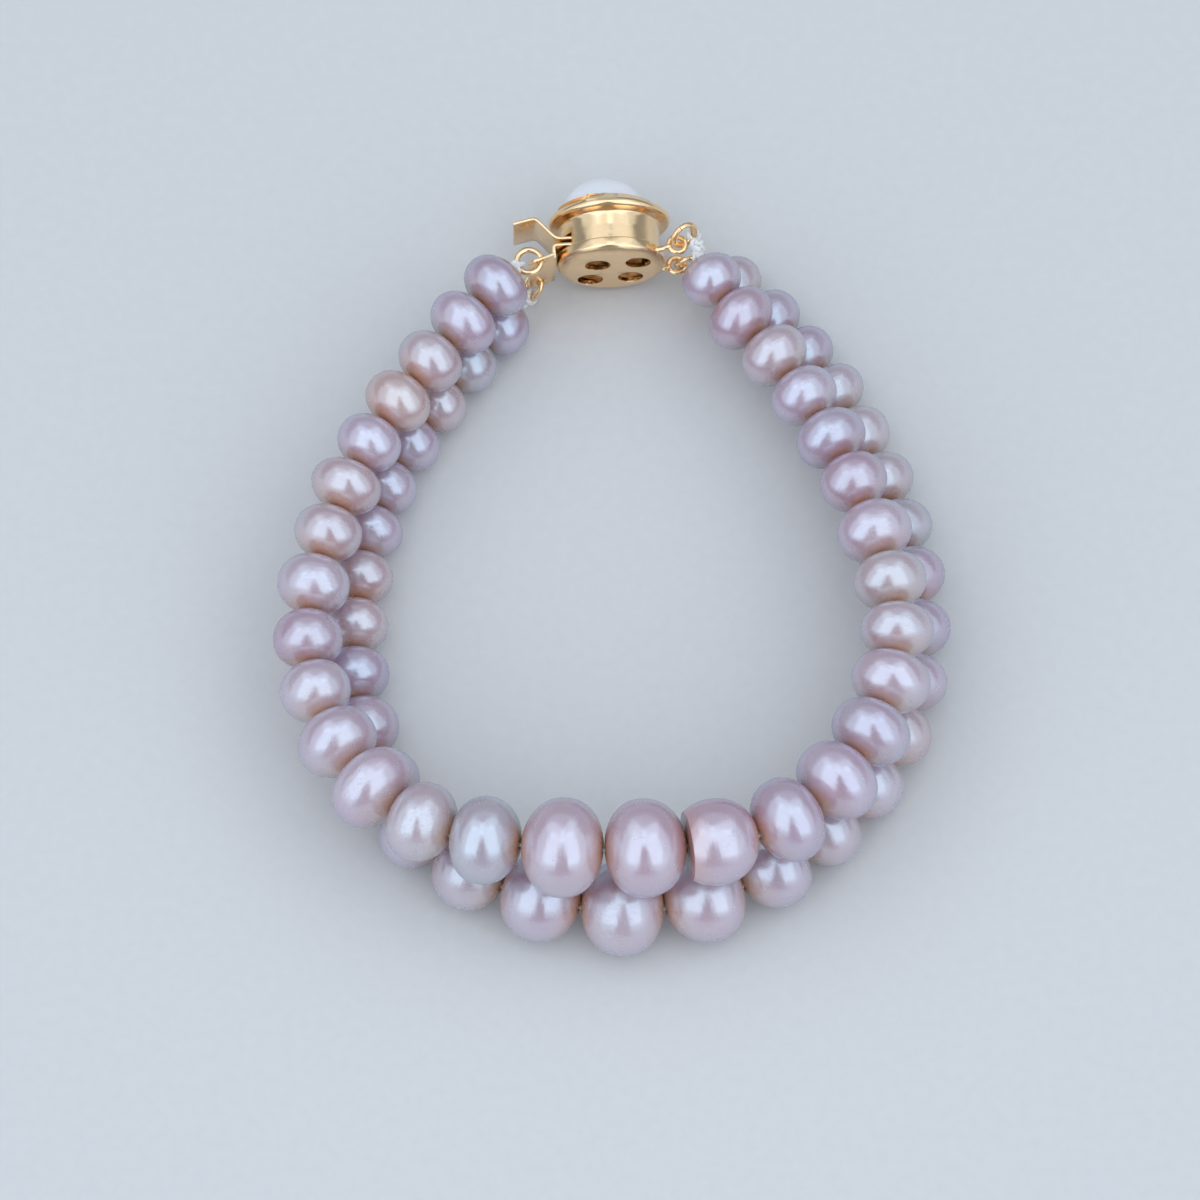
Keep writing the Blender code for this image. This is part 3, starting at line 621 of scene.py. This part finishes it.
class Nodes:
    """A material's node tree, with short calls to add and join nodes."""

    def __init__(self, name):
        self.material = bpy.data.materials.new(name)
        self.material.use_nodes = True
        self.tree = self.material.node_tree
        self.shader = self.tree.nodes["Principled BSDF"]

    def set(self, **values):
        """Sets the shader's own sockets: base_color for Base Color, and so on."""
        for key, value in values.items():
            socket = key.replace("_", " ").title().replace("Ior", "IOR")
            self.shader.inputs[socket].default_value = value

    def add(self, kind, inputs=None, **settings):
        """A node of a kind, with its settings, and its inputs as values or as other sockets."""
        node = self.tree.nodes.new("ShaderNode" + kind)
        for key, value in settings.items():
            setattr(node, key, value)
        for key, value in (inputs or {}).items():
            socket = node.inputs[key]
            if isinstance(value, bpy.types.NodeSocket):
                self.tree.links.new(value, socket)
            else:
                socket.default_value = value
        return node

    def link(self, socket, name):
        self.tree.links.new(socket, self.shader.inputs[name])

    def where(self):
        return self.add("TexCoord").outputs["Object"]

    def noise(self, scale, detail=2.0, roughness=0.5, vector=None):
        inputs = {
            "Vector": vector or self.where(),
            "Scale": scale,
            "Detail": detail,
            "Roughness": roughness,
        }
        return self.add("TexNoise", inputs)

    def span(self, value, low, high, to_low, to_high, smooth=False):
        """value from low..high as to_low..to_high, clamped."""
        inputs = {"Value": value, "From Min": low, "From Max": high}
        inputs |= {"To Min": to_low, "To Max": to_high}
        kind = "SMOOTHSTEP" if smooth else "LINEAR"
        return self.add("MapRange", inputs, interpolation_type=kind).outputs["Result"]

    def math(self, operation, first, second=0.0):
        return self.add("Math", {0: first, 1: second}, operation=operation).outputs[0]

    def mix(self, share, first, second, blend="MIX"):
        node = self.add("Mix", data_type="RGBA", blend_type=blend)
        sockets = (node.inputs[0], node.inputs[6], node.inputs[7])
        for socket, value in zip(sockets, (share, first, second)):
            if isinstance(value, bpy.types.NodeSocket):
                self.tree.links.new(value, socket)
            else:
                socket.default_value = value
        return node.outputs[2]

    def bump(self, height, distance, strength=1.0, before=None):
        inputs = {"Height": height, "Distance": distance, "Strength": strength}
        if before:
            inputs["Normal"] = before
        return self.add("Bump", inputs).outputs["Normal"]


def nacre_material():
    """Pearl: a soft body colour with painted shade and glow at the drill holes, under a glossy skin
    with growth lines, pits and scratches.
    """
    n = Nodes("nacre")
    n.set(metallic=0.2, ior=2.5, specular_tint=(0.5, 0.92, 1.0, 1.0))
    n.set(coat_weight=0.15, coat_roughness=0.06, coat_ior=1.5)
    n.shader.inputs["Specular IOR Level"].default_value = 1.0
    tone = n.add("Attribute", attribute_name="tone").outputs["Color"]
    painted_shade_glow_tone = n.add("Attribute", attribute_name="painted_shade_glow_tone").outputs["Color"]
    place = n.add("Attribute", attribute_name="place")
    parts = n.add("SeparateXYZ", {0: place.outputs["Vector"]})
    along = parts.outputs["X"]
    far = n.math("ABSOLUTE", along)
    clouds = n.noise(330.0, detail=2.0)
    # Painted shade: towards the drill holes the body colour turns to the darker, warmer rim colour
    edge = n.math("ADD", far, n.math("MULTIPLY", n.math("SUBTRACT", clouds.outputs[0], 0.5), 0.35))
    colour = n.mix(n.span(edge, 0.4, 1.0, 0.0, 0.9, smooth=True), tone, painted_shade_glow_tone)
    # Painted glow: an orange warmth round the drill holes, where the pearls touch
    painted_contact_glow = n.span(parts.outputs["Y"], 0.12, 0.6, 0.85, 0.0)
    colour = n.mix(painted_contact_glow, colour, (0.92, 0.42, 0.20, 1.0))
    drift = n.noise(170.0, detail=1.0)
    colour = n.mix(n.span(drift.outputs[0], 0.35, 0.7, 0.0, 0.2), colour, (0.86, 0.80, 0.80, 1.0))
    fine = n.noise(1500.0, detail=3.0, roughness=0.65)
    colour = n.mix(n.span(fine.outputs[0], 0.3, 0.75, 0.0, 0.14), colour, (0.52, 0.36, 0.36, 1.0))
    n.link(colour, "Base Color")
    rough = n.noise(700.0, detail=3.0)
    n.link(n.span(rough.outputs[0], 0.3, 0.7, 0.2, 0.29), "Roughness")
    wobble = n.math("MULTIPLY", n.math("SUBTRACT", clouds.outputs[0], 0.5), 0.5)
    lines = n.math("SINE", n.math("MULTIPLY", n.math("ADD", along, wobble), 46.0))
    skin = n.bump(lines, 0.0011 * MM)
    skin = n.bump(clouds.outputs[0], 0.07 * MM, before=skin)
    skin = n.bump(fine.outputs[0], 0.006 * MM, before=skin)
    pits = n.add("TexVoronoi", {"Vector": n.where(), "Scale": 520.0, "Randomness": 1.0})
    chance = n.add("SeparateColor", {0: pits.outputs["Color"]}).outputs[0]
    few = n.span(chance, 0.94, 0.96, 0.0, 1.0)
    dent = n.span(pits.outputs["Distance"], 0.06, 0.14, -1.0, 0.0, smooth=True)
    pit = n.math("MULTIPLY", dent, few)
    skin = n.bump(pit, 0.018 * MM, before=skin)
    stretched = n.add("Mapping", {0: n.where(), "Scale": (1.0, 9.0, 3.0)}).outputs[0]
    scratch = n.add("TexNoise", {"Vector": stretched, "Scale": 420.0})
    off_line = n.math("ABSOLUTE", n.math("SUBTRACT", scratch.outputs[0], 0.5))
    line = n.span(off_line, 0.0, 0.006, -1.0, 0.0)
    rare = n.span(drift.outputs[0], 0.58, 0.64, 0.0, 1.0)
    skin = n.bump(n.math("MULTIPLY", line, rare), 0.008 * MM, before=skin)
    n.link(skin, "Normal")
    n.tree.links.new(skin, n.shader.inputs["Coat Normal"])
    return n.material


def gold_material():
    """Polished gold plate: slight waves, fine scratches, and duller, redder patches of wear."""
    n = Nodes("gold plate")
    n.set(metallic=1.0, coat_weight=0.15, coat_roughness=0.05)
    wear = n.noise(900.0, detail=4.0, roughness=0.6)
    worn = n.span(wear.outputs[0], 0.45, 0.75, 0.0, 0.35)
    n.link(n.mix(worn, (1.0, 0.72, 0.42, 1.0), (0.93, 0.60, 0.27, 1.0)), "Base Color")
    n.link(n.span(wear.outputs[0], 0.3, 0.7, 0.12, 0.24), "Roughness")
    waves = n.noise(420.0, detail=1.0)
    skin = n.bump(waves.outputs[0], 0.05 * MM)
    grain = n.add("Mapping", {0: n.where(), "Scale": (1.0, 1.0, 14.0)}).outputs[0]
    scratches = n.noise(1800.0, detail=4.0, vector=grain)
    skin = n.bump(scratches.outputs[0], 0.006 * MM, before=skin)
    n.link(skin, "Normal")
    return n.material


def stone_material():
    """The cabochon: white with a breath of lavender, softly cloudy under a smooth polish."""
    n = Nodes("white stone")
    n.set(coat_weight=0.3, coat_roughness=0.12, subsurface_weight=0.25, subsurface_scale=0.6 * MM)
    clouds = n.noise(260.0, detail=3.0)
    cloudy = n.span(clouds.outputs[0], 0.35, 0.7, 0.0, 1.0)
    n.link(n.mix(cloudy, (0.88, 0.87, 0.90, 1), (0.93, 0.91, 0.91, 1)), "Base Color")
    fine = n.noise(2200.0, detail=3.0)
    n.link(n.span(fine.outputs[0], 0.3, 0.7, 0.34, 0.46), "Roughness")
    n.link(n.bump(fine.outputs[0], 0.004 * MM), "Normal")
    return n.material


def thread_material():
    """White silk thread, a little translucent, with the fibres of each ply."""
    n = Nodes("silk thread")
    n.set(roughness=0.5, subsurface_weight=0.12, subsurface_scale=0.2 * MM, sheen_weight=0.2)
    fibres = n.noise(5200.0, detail=4.0)
    shaded = n.span(fibres.outputs[0], 0.35, 0.7, 0.0, 1.0)
    n.link(n.mix(shaded, (0.90, 0.88, 0.86, 1), (0.78, 0.75, 0.72, 1)), "Base Color")
    n.link(n.bump(fibres.outputs[0], 0.02 * MM), "Normal")
    return n.material


def floor_material():
    """A plain pale surface with the faintest unevenness."""
    n = Nodes("pale floor")
    n.set(roughness=0.6)
    speck = n.noise(900.0, detail=3.0)
    lighter = n.span(speck.outputs[0], 0.3, 0.7, 0.0, 1.0)
    n.link(n.mix(lighter, (0.65, 0.635, 0.62, 1), (0.67, 0.655, 0.64, 1)), "Base Color")
    n.link(n.bump(speck.outputs[0], 0.01 * MM), "Normal")
    return n.material


# Pearls and thread


def pearl_stations(level, number):
    """(place along the thread, radius) of a pearl's rings, as shares of its half sizes."""
    stations = []
    for step in range(PEARL_STATIONS + 1):
        angle = math.pi * (0.03 + 0.94 * step / PEARL_STATIONS)
        along = math.copysign(abs(math.cos(angle)) ** (2 / OUTLINE_POWER), -math.cos(angle))
        stations.append([along, math.sin(angle) ** (2 / OUTLINE_POWER)])
    side, keep = CUT_FLAT.get((level, number), (0, 1.0))
    if side:
        for inset in (0.0, 0.012, 0.03):
            spot = side * (keep - inset)
            stations.append([spot, (1 - abs(spot) ** OUTLINE_POWER) ** (1 / OUTLINE_POWER)])
        stations.sort(key=lambda station: station[0])
        for station in stations:
            kept = min(station[0] * side, keep + 0.04 * max(station[0] * side - keep, 0.0))
            station[0] = side * ((kept + 1) * 2 / (keep + 1) - 1)
    return stations


def pearl_shape(pearl, level, number, rng):
    """Points, faces and each point's place on one pearl."""
    axis = (pearl.end - pearl.start).normalized()
    up = (Vector((0, 0, 1)) - axis * axis.z).normalized()
    side = axis.cross(up)
    lean = LEANING.get((level, number), rng.uniform(-0.05, 0.05))
    oval = rng.uniform(0.0, 0.012)
    oval_turn = rng.uniform(0, math.pi)
    seed = Vector((rng.uniform(0, 50), rng.uniform(0, 50), rng.uniform(0, 50)))
    rings = RINGED.get((level, number), ())
    half, radius = pearl.half, pearl.radius
    drill = DRILL_RADIUS / radius
    depth = DRILL_DEPTH / half
    stations = pearl_stations(level, number)
    first, last = stations[0][0], stations[-1][0]
    stations = [
        [first + depth, drill * 0.9],
        [first + depth * 0.2, drill],
        *stations,
        [last - depth * 0.2, drill],
        [last - depth, drill * 0.9],
    ]
    points, places = [], []
    for along, share in stations:
        pull = lean * (1 - along * along)
        for step in range(PEARL_SIDES):
            angle = math.tau * step / PEARL_SIDES
            way = up * math.cos(angle) + side * math.sin(angle)
            spot = axis * along + way * share
            rough = noise.noise(spot * 1.1 + seed) * 0.012 + noise.noise(spot * 3.1 + seed) * 0.003
            wide = share * (1 + oval * math.cos(2 * (angle - oval_turn)) + rough * share - oval)
            for place in rings:
                near = (along - place + 0.03 * noise.noise(way * 1.3 + seed)) / 0.035
                wide *= 1 - 0.012 * math.exp(-near * near)
            point = pearl.middle + axis * ((along + pull) * half) + way * (wide * radius)
            points.append(point)
            places.append((along, share, angle / math.tau))
    faces = []
    for row in range(len(stations) - 1):
        for step in range(PEARL_SIDES):
            beside = (step + 1) % PEARL_SIDES
            a, b = row * PEARL_SIDES, (row + 1) * PEARL_SIDES
            faces.append((a + beside, a + step, b + step, b + beside))
    faces.append(tuple(range(PEARL_SIDES)))
    faces.append(tuple(range(len(points) - PEARL_SIDES, len(points)))[::-1])
    return points, faces, places


def vary(colour, rng, amount):
    """A colour moved a little in lightness and warmth."""
    light = 1 + rng.uniform(-amount, amount)
    warm = rng.uniform(-amount, amount) * 0.5
    ways = zip(colour, (1, 0, -1))
    return [min(channel * light * (1 + warm * way), 0.95) for channel, way in ways]


def build_pearls(level, pearls, tones, material):
    """All pearls of a string as one mesh, each with its own tone."""
    rng = random.Random(11 if level == "upper" else 23)
    points, faces, places, body, hole = [], [], [], [], []
    for number, (pearl, tone) in enumerate(zip(pearls, tones), 1):
        some_points, some_faces, some_places = pearl_shape(pearl, level, number, rng)
        start = len(points)
        points += some_points
        faces += [tuple(start + corner for corner in face) for face in some_faces]
        places += some_places
        # The second colour of each tone is painted shade and glow towards the drill holes
        main, edge = (vary(colour, rng, 0.04) for colour in TONES[tone])
        body += [(*main, 1.0)] * len(some_points)
        hole += [(*edge, 1.0)] * len(some_points)
    mesh = mesh_of(f"{level}_pearls", points, faces, material)
    for name, values in (("tone", body), ("painted_shade_glow_tone", hole)):
        layer = mesh.attributes.new(name, "FLOAT_COLOR", "POINT")
        layer.data.foreach_set("color", np.array(values, np.float32).ravel())
    layer = mesh.attributes.new("place", "FLOAT_VECTOR", "POINT")
    layer.data.foreach_set("vector", np.array(places, np.float32).ravel())
    return add_piece(f"{level}_pearls", mesh, "bracelet", f"{level}_strand")


def plies(centres, offset, closed=False):
    """The two plies of a thread, twisted round a line of centres."""
    parts = []
    length = [0.0]
    for a, b in zip(centres, centres[1:]):
        length.append(length[-1] + (b - a).length)
    turns = max(round(length[-1] / PLY_PITCH), 1) if closed else length[-1] / PLY_PITCH
    for phase in (0.0, math.pi):
        line = []
        side = (centres[1] - centres[0]).orthogonal().normalized()
        for index, centre in enumerate(centres):
            before = centres[index - 1] if index or closed else centres[0]
            at_end = index == len(centres) - 1 and not closed
            after = centre if at_end else centres[(index + 1) % len(centres)]
            tangent = (after - before).normalized()
            side = (side - tangent * side.dot(tangent)).normalized()
            up = tangent.cross(side)
            angle = phase + math.tau * turns * length[index] / length[-1]
            line.append(centre + (side * math.cos(angle) + up * math.sin(angle)) * offset)
        parts.append(tube(line, PLY_RADIUS, 8, closed))
    return parts


def knot_line(middle, axis, size, steps=60, turn=0.0):
    """The line of a trefoil knot, flat across an axis."""
    first = axis.orthogonal().normalized()
    second = axis.cross(first).normalized()
    line = []
    for step in range(steps):
        t = math.tau * step / steps
        x = math.sin(t + turn) + 2 * math.sin(2 * t + turn)
        y = math.cos(t + turn) - 2 * math.cos(2 * t + turn)
        z = -math.sin(3 * t)
        line.append(middle + (first * x + second * y) * (size / 2) + axis * (z * size * 0.6))
    return line


def build_thread(level, pearls, rings, material):
    """The thread through a string: its plies between the pearls, its end loops and their knots."""
    parts = []
    inner = [pearls[0].start]
    for pearl in pearls:
        inner += [pearl.start.lerp(pearl.end, t) for t in (0.25, 0.5, 0.75, 1.0)]
    parts += [tube(inner, THREAD_CORE_RADIUS, 8)]
    for ring, hole in zip(rings, (pearls[0].start, pearls[-1].end)):
        to_hole = (hole - ring.thread).normalized()
        wire_way = ring.normal.cross(ring.thread - ring.centre)
        across = to_hole.cross(wire_way).normalized()
        square = to_hole.cross(across).normalized()
        loop = ring_line(ring.thread, square, THREAD_LOOP_RADIUS, 40)
        parts += plies(loop, PLY_OFFSET * 0.6, closed=True)
        start = ring.thread + to_hole * THREAD_LOOP_RADIUS
        reach = (hole - start).length
        steps = max(int(reach / (0.12 * MM)), 6)
        parts += plies([start.lerp(hole, step / steps) for step in range(steps + 1)], PLY_OFFSET)
        spots = (0.35,) if reach < 2 * MM else (0.2, 0.55, 0.85)
        for number, share in enumerate(spots):
            middle = start.lerp(hole, share)
            line = knot_line(middle, to_hole, KNOT_SIZE, turn=number * 1.3)
            parts.append(tube(line, PLY_RADIUS * 1.6, 8, closed=True))
    points, faces = joined(parts)
    mesh = mesh_of(f"{level}_thread", points, faces, material)
    return add_piece(f"{level}_thread", mesh, "bracelet", None)


# Clasp


def bezel_overlap(point):
    """The bezel's strip laps over its own end: a small step outward that fades round the stone."""
    angle = math.atan2(point.y, point.x) % math.tau
    past = (angle - LAP_START) % math.tau
    return LAP_STEP * math.exp(-past / LAP_FADE)


def build_clasp_cup(material):
    """The cup with its beaded flange and conical bezel, whose seat sits off the case's axis."""
    lip = CABOCHON_RADIUS + FIT_GAP
    floor = FLANGE_AT - FLANGE_BEAD
    bead_middle = FLANGE_RADIUS - FLANGE_BEAD
    bead = []
    for step in range(15):
        angle = math.radians(78 - 178 * step / 14)
        bead.append(
            (bead_middle + FLANGE_BEAD * math.cos(angle), FLANGE_AT + FLANGE_BEAD * math.sin(angle))
        )
    top = FLANGE_AT + BEZEL_HEIGHT
    seat = rounded(
        [
            (0.0, floor + CASE_SHEET),
            (lip, floor + CASE_SHEET),
            (lip, top),
            (lip + BEZEL_LIP, top - 0.05 * MM),
            (bead_middle - 0.12 * MM, FLANGE_AT + FLANGE_BEAD * 0.62),
        ],
        0.1 * MM,
    )
    wall = rounded(
        [
            bead[-1],
            (CASE_RADIUS + 0.05 * MM, floor - CASE_SHEET * 0.6),
            (CASE_RADIUS, floor - CASE_SHEET * 1.6),
            (CASE_RADIUS - 0.04 * MM, (floor + SKIRT_HEIGHT) / 2),
            (CASE_RADIUS, SKIRT_HEIGHT + 0.2 * MM),
            (CASE_RADIUS, BACK_SHEET + FIT_GAP),
            (CASE_INNER_RADIUS, BACK_SHEET + FIT_GAP),
            (CASE_INNER_RADIUS, floor),
            (0.0, floor),
        ],
        0.08 * MM,
    )
    profile = [*seat, *[Vector(p) for p in bead], *wall[1:]]
    points, faces = turned(profile, 144)
    for point in points:
        if point.z > floor + CASE_SHEET / 2 and point.xy.length < lip + BEZEL_LIP + 0.02 * MM:
            point.x += STONE_SHIFT
    cone_low = FLANGE_AT + FLANGE_BEAD * 0.62
    for point in points:
        out = Vector((point.x, point.y, 0.0))
        if point.z > cone_low and out.length > lip * 0.9:
            share = min((point.z - cone_low) / (top - cone_low), 1.0)
            point += out.normalized() * bezel_overlap(point) * (0.4 + 0.6 * share) * 0.5
            point.z += bezel_overlap(point) * 0.35
    slot_side = LEAF_WIDTH / 2 + SLOT_SIDE_GAP
    slot = block(
        (CASE_INNER_RADIUS / 2, -slot_side, TONGUE_AT - LEAF_SHEET / 2 - SLOT_FACE_GAP),
        (FLANGE_RADIUS, slot_side, THUMB_AT + LEAF_SHEET / 2 + SLOT_FACE_GAP),
    )
    mesh = worked("clasp_cup", points, faces, material, [slot], bevel=0.03 * MM)
    return add_piece("clasp_cup", mesh, "bracelet", "clasp_body")


def build_clasp_back(material):
    """The raised back plate with four windows, its skirt over the cup, and the soldered eyes."""
    profile = rounded(
        [
            (0.0, BACK_SHEET - BACK_BULGE),
            (CASE_RADIUS - BACK_SHEET, BACK_SHEET - BACK_BULGE),
            (CASE_RADIUS + FIT_GAP, BACK_SHEET),
            (CASE_RADIUS + FIT_GAP, SKIRT_HEIGHT),
            (BACK_OUTER_RADIUS, SKIRT_HEIGHT),
            (BACK_OUTER_RADIUS, SKIRT_SHEET),
            (BACK_OUTER_RADIUS - SKIRT_SHEET, 0.0),
            (CASE_RADIUS - BACK_SHEET, -BACK_BULGE),
            (0.0, -BACK_BULGE),
        ],
        0.13 * MM,
    )
    points, faces = turned(profile, 128)
    through = Vector((0, 0, BACK_SHEET))
    windows = []
    for column in (-0.5, 0.5):
        for row in (-0.5, 0.5):
            middle = WINDOWS_MIDDLE + WINDOW_STEP_ACROSS * column + WINDOW_STEP_UP * row
            middle -= Vector((0, 0, BACK_BULGE))
            windows.append(bar(middle - through, middle + through * 2, WINDOW_RADIUS))
    mesh = worked("clasp_back_plate", points, faces, material, windows, bevel=0.06 * MM)
    parts = []
    upright = (CLASP_TURN @ Vector((0, 1, 0))).normalized()
    skirt_x = math.sqrt(BACK_OUTER_RADIUS**2 - (EYE_SPACING / 2) ** 2)
    for level, side in (("upper", 0.5), ("lower", -0.5)):
        centre = eye_point("right", level)
        circle = ring_line(centre, upright, SOLDERED_EYE_RADIUS, 40)
        parts.append(tube(circle, EYE_WIRE_RADIUS, 14, True))
        on_skirt = CLASP @ Vector((-skirt_x, EYE_SPACING * side, SKIRT_HEIGHT / 2))
        inward = (on_skirt - centre).normalized()
        start = centre + inward * (SOLDERED_EYE_RADIUS - 0.1 * MM)
        end = on_skirt + inward * EYE_STEM_DEPTH
        line = [start.lerp(end, step / 8) for step in range(9)]
        girth = [EYE_WIRE_RADIUS * (0.95 + 0.5 * (abs(step - 4) / 4) ** 2) for step in range(9)]
        parts.append(tube(line, girth, 14))
    eye_points, eye_faces = joined(parts)
    eyes = mesh_of("eyes", eye_points, eye_faces, material)
    merge(mesh, eyes)
    return add_piece("clasp_back_plate", mesh, "bracelet", "clasp_back")


def build_stone(material):
    """The half-round white cabochon."""
    seat = FLANGE_AT - FLANGE_BEAD + CASE_SHEET + FIT_GAP
    straight = BEZEL_HEIGHT / 2
    dome = CABOCHON_HEIGHT - straight
    profile = []
    for step in range(29):
        angle = math.pi / 2 * step / 28
        height = seat + straight + dome * math.cos(angle)
        profile.append((CABOCHON_RADIUS * math.sin(angle), height))
    edge = 0.1 * MM
    profile += [(CABOCHON_RADIUS, seat + edge), (CABOCHON_RADIUS - edge, seat), (0.0, seat)]
    points, faces = turned(profile, 96)
    for point in points:
        point.x += STONE_SHIFT
    mesh = worked("stone", points, faces, material, bevel=0)
    return add_piece("stone", mesh, "bracelet", "clasp_cabochon")


def build_tongue(material):
    """The leaf in the case, whose outer end steps down to a strip with two eyes."""
    foot = (RISER_AT, EYE_STRIP_AT - 0.18 * MM)
    leaf = strip([(-LEAF_REACH, TONGUE_AT), (RISER_AT, TONGUE_AT), foot], LEAF_WIDTH)
    end = (RISER_AT + EYE_STRIP_LENGTH, EYE_STRIP_AT - EYE_STRIP_DROP)
    flat = strip([(RISER_AT, EYE_STRIP_AT), end], EYE_STRIP_WIDTH)
    holes = []
    normal = Vector((EYE_STRIP_DROP, 0, EYE_STRIP_LENGTH)).normalized()
    for level in ("lower", "upper"):
        eye = CLASP.inverted() @ eye_point("left", level)
        holes.append(bar(eye - normal * MM, eye + normal * MM, EYE_HOLE_RADIUS, 28))
    for side in (-1, 1):
        holes.append(strip_corner(end, side))
    leaf_mesh = worked("leaf", *leaf, material, bevel=0.06 * MM)
    mesh = worked("tongue", *flat, material, holes, bevel=0.06 * MM)
    merge(mesh, leaf_mesh)
    return add_piece("tongue", mesh, "bracelet", "clasp_tongue")


def strip_corner(end, side):
    """A block that trims one outer corner of the eye strip at a slant."""
    size = CORNER_BLOCK
    points, faces = block((-size, -size, -2 * MM), (size, size, 2 * MM))
    corner = Vector((end[0], side * EYE_STRIP_WIDTH / 2, end[1]))
    turn = Matrix.Rotation(math.radians(45), 3, "Z")
    out = Vector((1, side, 0)).normalized() * (size - CORNER_TRIM)
    return [turn @ point + corner + out for point in points], faces


def build_thumb_tab(material):
    """The springy leaf over the tongue, which ends outside in a bent thumb tab."""
    fold_at = TONGUE_AT + LEAF_SHEET + FOLD_GAP
    corner = (RISER_AT + THUMB_SLANT, THUMB_AT + THUMB_RISE)
    line = [
        (-LEAF_REACH, fold_at),
        (BACK_OUTER_RADIUS, THUMB_AT),
        corner,
        (corner[0] + THUMB_LENGTH, corner[1] - THUMB_DIP),
    ]
    points, faces = strip(line, LEAF_WIDTH, bend=0.5 * MM)
    mesh = worked("thumb_tab", points, faces, material, bevel=0.09 * MM)
    return add_piece("thumb_tab", mesh, "thumb_leaf", "clasp_thumb_leaf")


def build_rings(rings, material):
    """Four jump rings of round wire, each with the hairline gap of its joint."""
    for level, pair in rings.items():
        for side, ring in zip(("left", "right"), pair):
            first = (ring.thread - ring.centre).normalized()
            second = ring.normal.cross(first).normalized()
            line = []
            for step in range(61):
                angle = RING_JOINT_AT + RING_JOINT_GAP + (math.tau - 2 * RING_JOINT_GAP) * step / 60
                way = first * math.cos(angle) + second * math.sin(angle)
                line.append(ring.centre + way * RING_RADIUS)
            points, faces = tube(line, RING_WIRE_RADIUS, 16)
            name = f"jump_ring_{side}_{level}"
            mesh = mesh_of(name, points, faces, material, sharp=50)
            add_piece(name, mesh, "bracelet", f"ring_{side}_{level}")


# Stage


def add_camera():
    """The camera at the photograph's angle."""
    data = bpy.data.cameras.new("camera")
    data.lens = VIEW_LENS
    data.sensor_width = 36.0
    data.clip_start = 0.05
    data.clip_end = 20.0
    camera = bpy.data.objects.new("camera", data)
    back = Vector((0, -math.cos(VIEW_ELEVATION), math.sin(VIEW_ELEVATION)))
    camera.location = VIEW_TARGET + back * VIEW_DISTANCE
    camera.rotation_euler = (math.pi / 2 - VIEW_ELEVATION, 0, 0)
    bpy.context.scene.collection.objects.link(camera)
    bpy.context.scene.camera = camera


def add_lamp(name, place, width, height, power):
    """A soft rectangular lamp that faces along its own -Z."""
    data = bpy.data.lights.new(name, "AREA")
    data.shape = "RECTANGLE"
    data.size, data.size_y = width, height
    data.energy = power
    data.color = PANEL_COLOUR
    lamp = bpy.data.objects.new(name, data)
    lamp.matrix_world = place
    lamp.visible_camera = False
    bpy.context.scene.collection.objects.link(lamp)


def add_panel(side):
    """A soft panel beside the camera; the gap between the pair widens downward."""
    view = Vector((0, -math.cos(VIEW_ELEVATION), math.sin(VIEW_ELEVATION)))
    upward = Vector((0, math.sin(VIEW_ELEVATION), math.cos(VIEW_ELEVATION)))
    spread, slant = math.radians(PANEL_SPREAD), math.radians(PANEL_SLANT)
    way = (view * math.cos(spread) + Vector((side, 0, 0)) * math.sin(spread)).normalized()
    edge = upward * math.cos(slant) - Vector((side, 0, 0)) * math.sin(slant)
    edge = (edge - way * edge.dot(way)).normalized()
    turn = Matrix((edge.cross(way), edge, way)).transposed().to_4x4()
    for number, (width, height, power) in enumerate(PANEL_LAYERS):
        name = f"{'left' if side < 0 else 'right'} panel {number}"
        outward = Vector((side * (width - PANEL_WIDTH) / 2, 0.06 * number, 0.01 * number))
        place = Matrix.Translation(way * PANEL_DISTANCE) @ turn @ Matrix.Translation(outward)
        add_lamp(name, place, width, height, power)


def add_top_panel():
    """A soft panel over the back that closes the top of the gap."""
    above = VIEW_ELEVATION + math.radians(TOP_PANEL_RISE)
    way = Vector((0, -math.cos(above), math.sin(above)))
    turn = Matrix.Rotation(above - math.pi / 2, 4, "X").inverted()
    place = Matrix.Translation(way * (PANEL_DISTANCE + 0.05)) @ turn
    add_lamp("top panel", place, *TOP_PANEL)


def add_stage():
    """A plain pale floor under two soft panels."""
    shape = bmesh.new()
    bmesh.ops.create_grid(shape, x_segments=8, y_segments=8, size=FLOOR_REACH)
    mesh = bpy.data.meshes.new("floor")
    shape.to_mesh(mesh)
    shape.free()
    mesh.materials.append(floor_material())
    floor = bpy.data.objects.new("floor", mesh)
    bpy.context.scene.collection.objects.link(floor)
    world = bpy.data.worlds.new("studio")
    world.use_nodes = True
    tree = world.node_tree
    background = tree.nodes["Background"]
    background.inputs["Color"].default_value = (*PANEL_COLOUR, 1.0)
    way = tree.nodes.new("ShaderNodeSeparateXYZ")
    tree.links.new(tree.nodes.new("ShaderNodeTexCoord").outputs["Generated"], way.inputs[0])
    fade = tree.nodes.new("ShaderNodeMapRange")
    fade.inputs["To Min"].default_value = HORIZON_LIGHT
    fade.inputs["To Max"].default_value = ZENITH_LIGHT
    tree.links.new(way.outputs["Z"], fade.inputs["Value"])
    tree.links.new(fade.outputs["Result"], background.inputs["Strength"])
    bpy.context.scene.world = world
    add_panel(-1)
    add_panel(1)
    add_top_panel()
    bpy.context.scene.view_settings.view_transform = "Standard"


add_camera()
strings, rings = lay_strings()
nacre = nacre_material()
silk = thread_material()
gold = gold_material()
for level, tone_column in (("upper", 4), ("lower", 5)):
    build_pearls(level, strings[level], [row[tone_column] for row in PEARLS], nacre)
    build_thread(level, strings[level], rings[level], silk)
build_clasp_cup(gold)
build_clasp_back(gold)
build_stone(stone_material())
build_tongue(gold)
build_thumb_tab(gold)
build_rings(rings, gold)
add_stage()
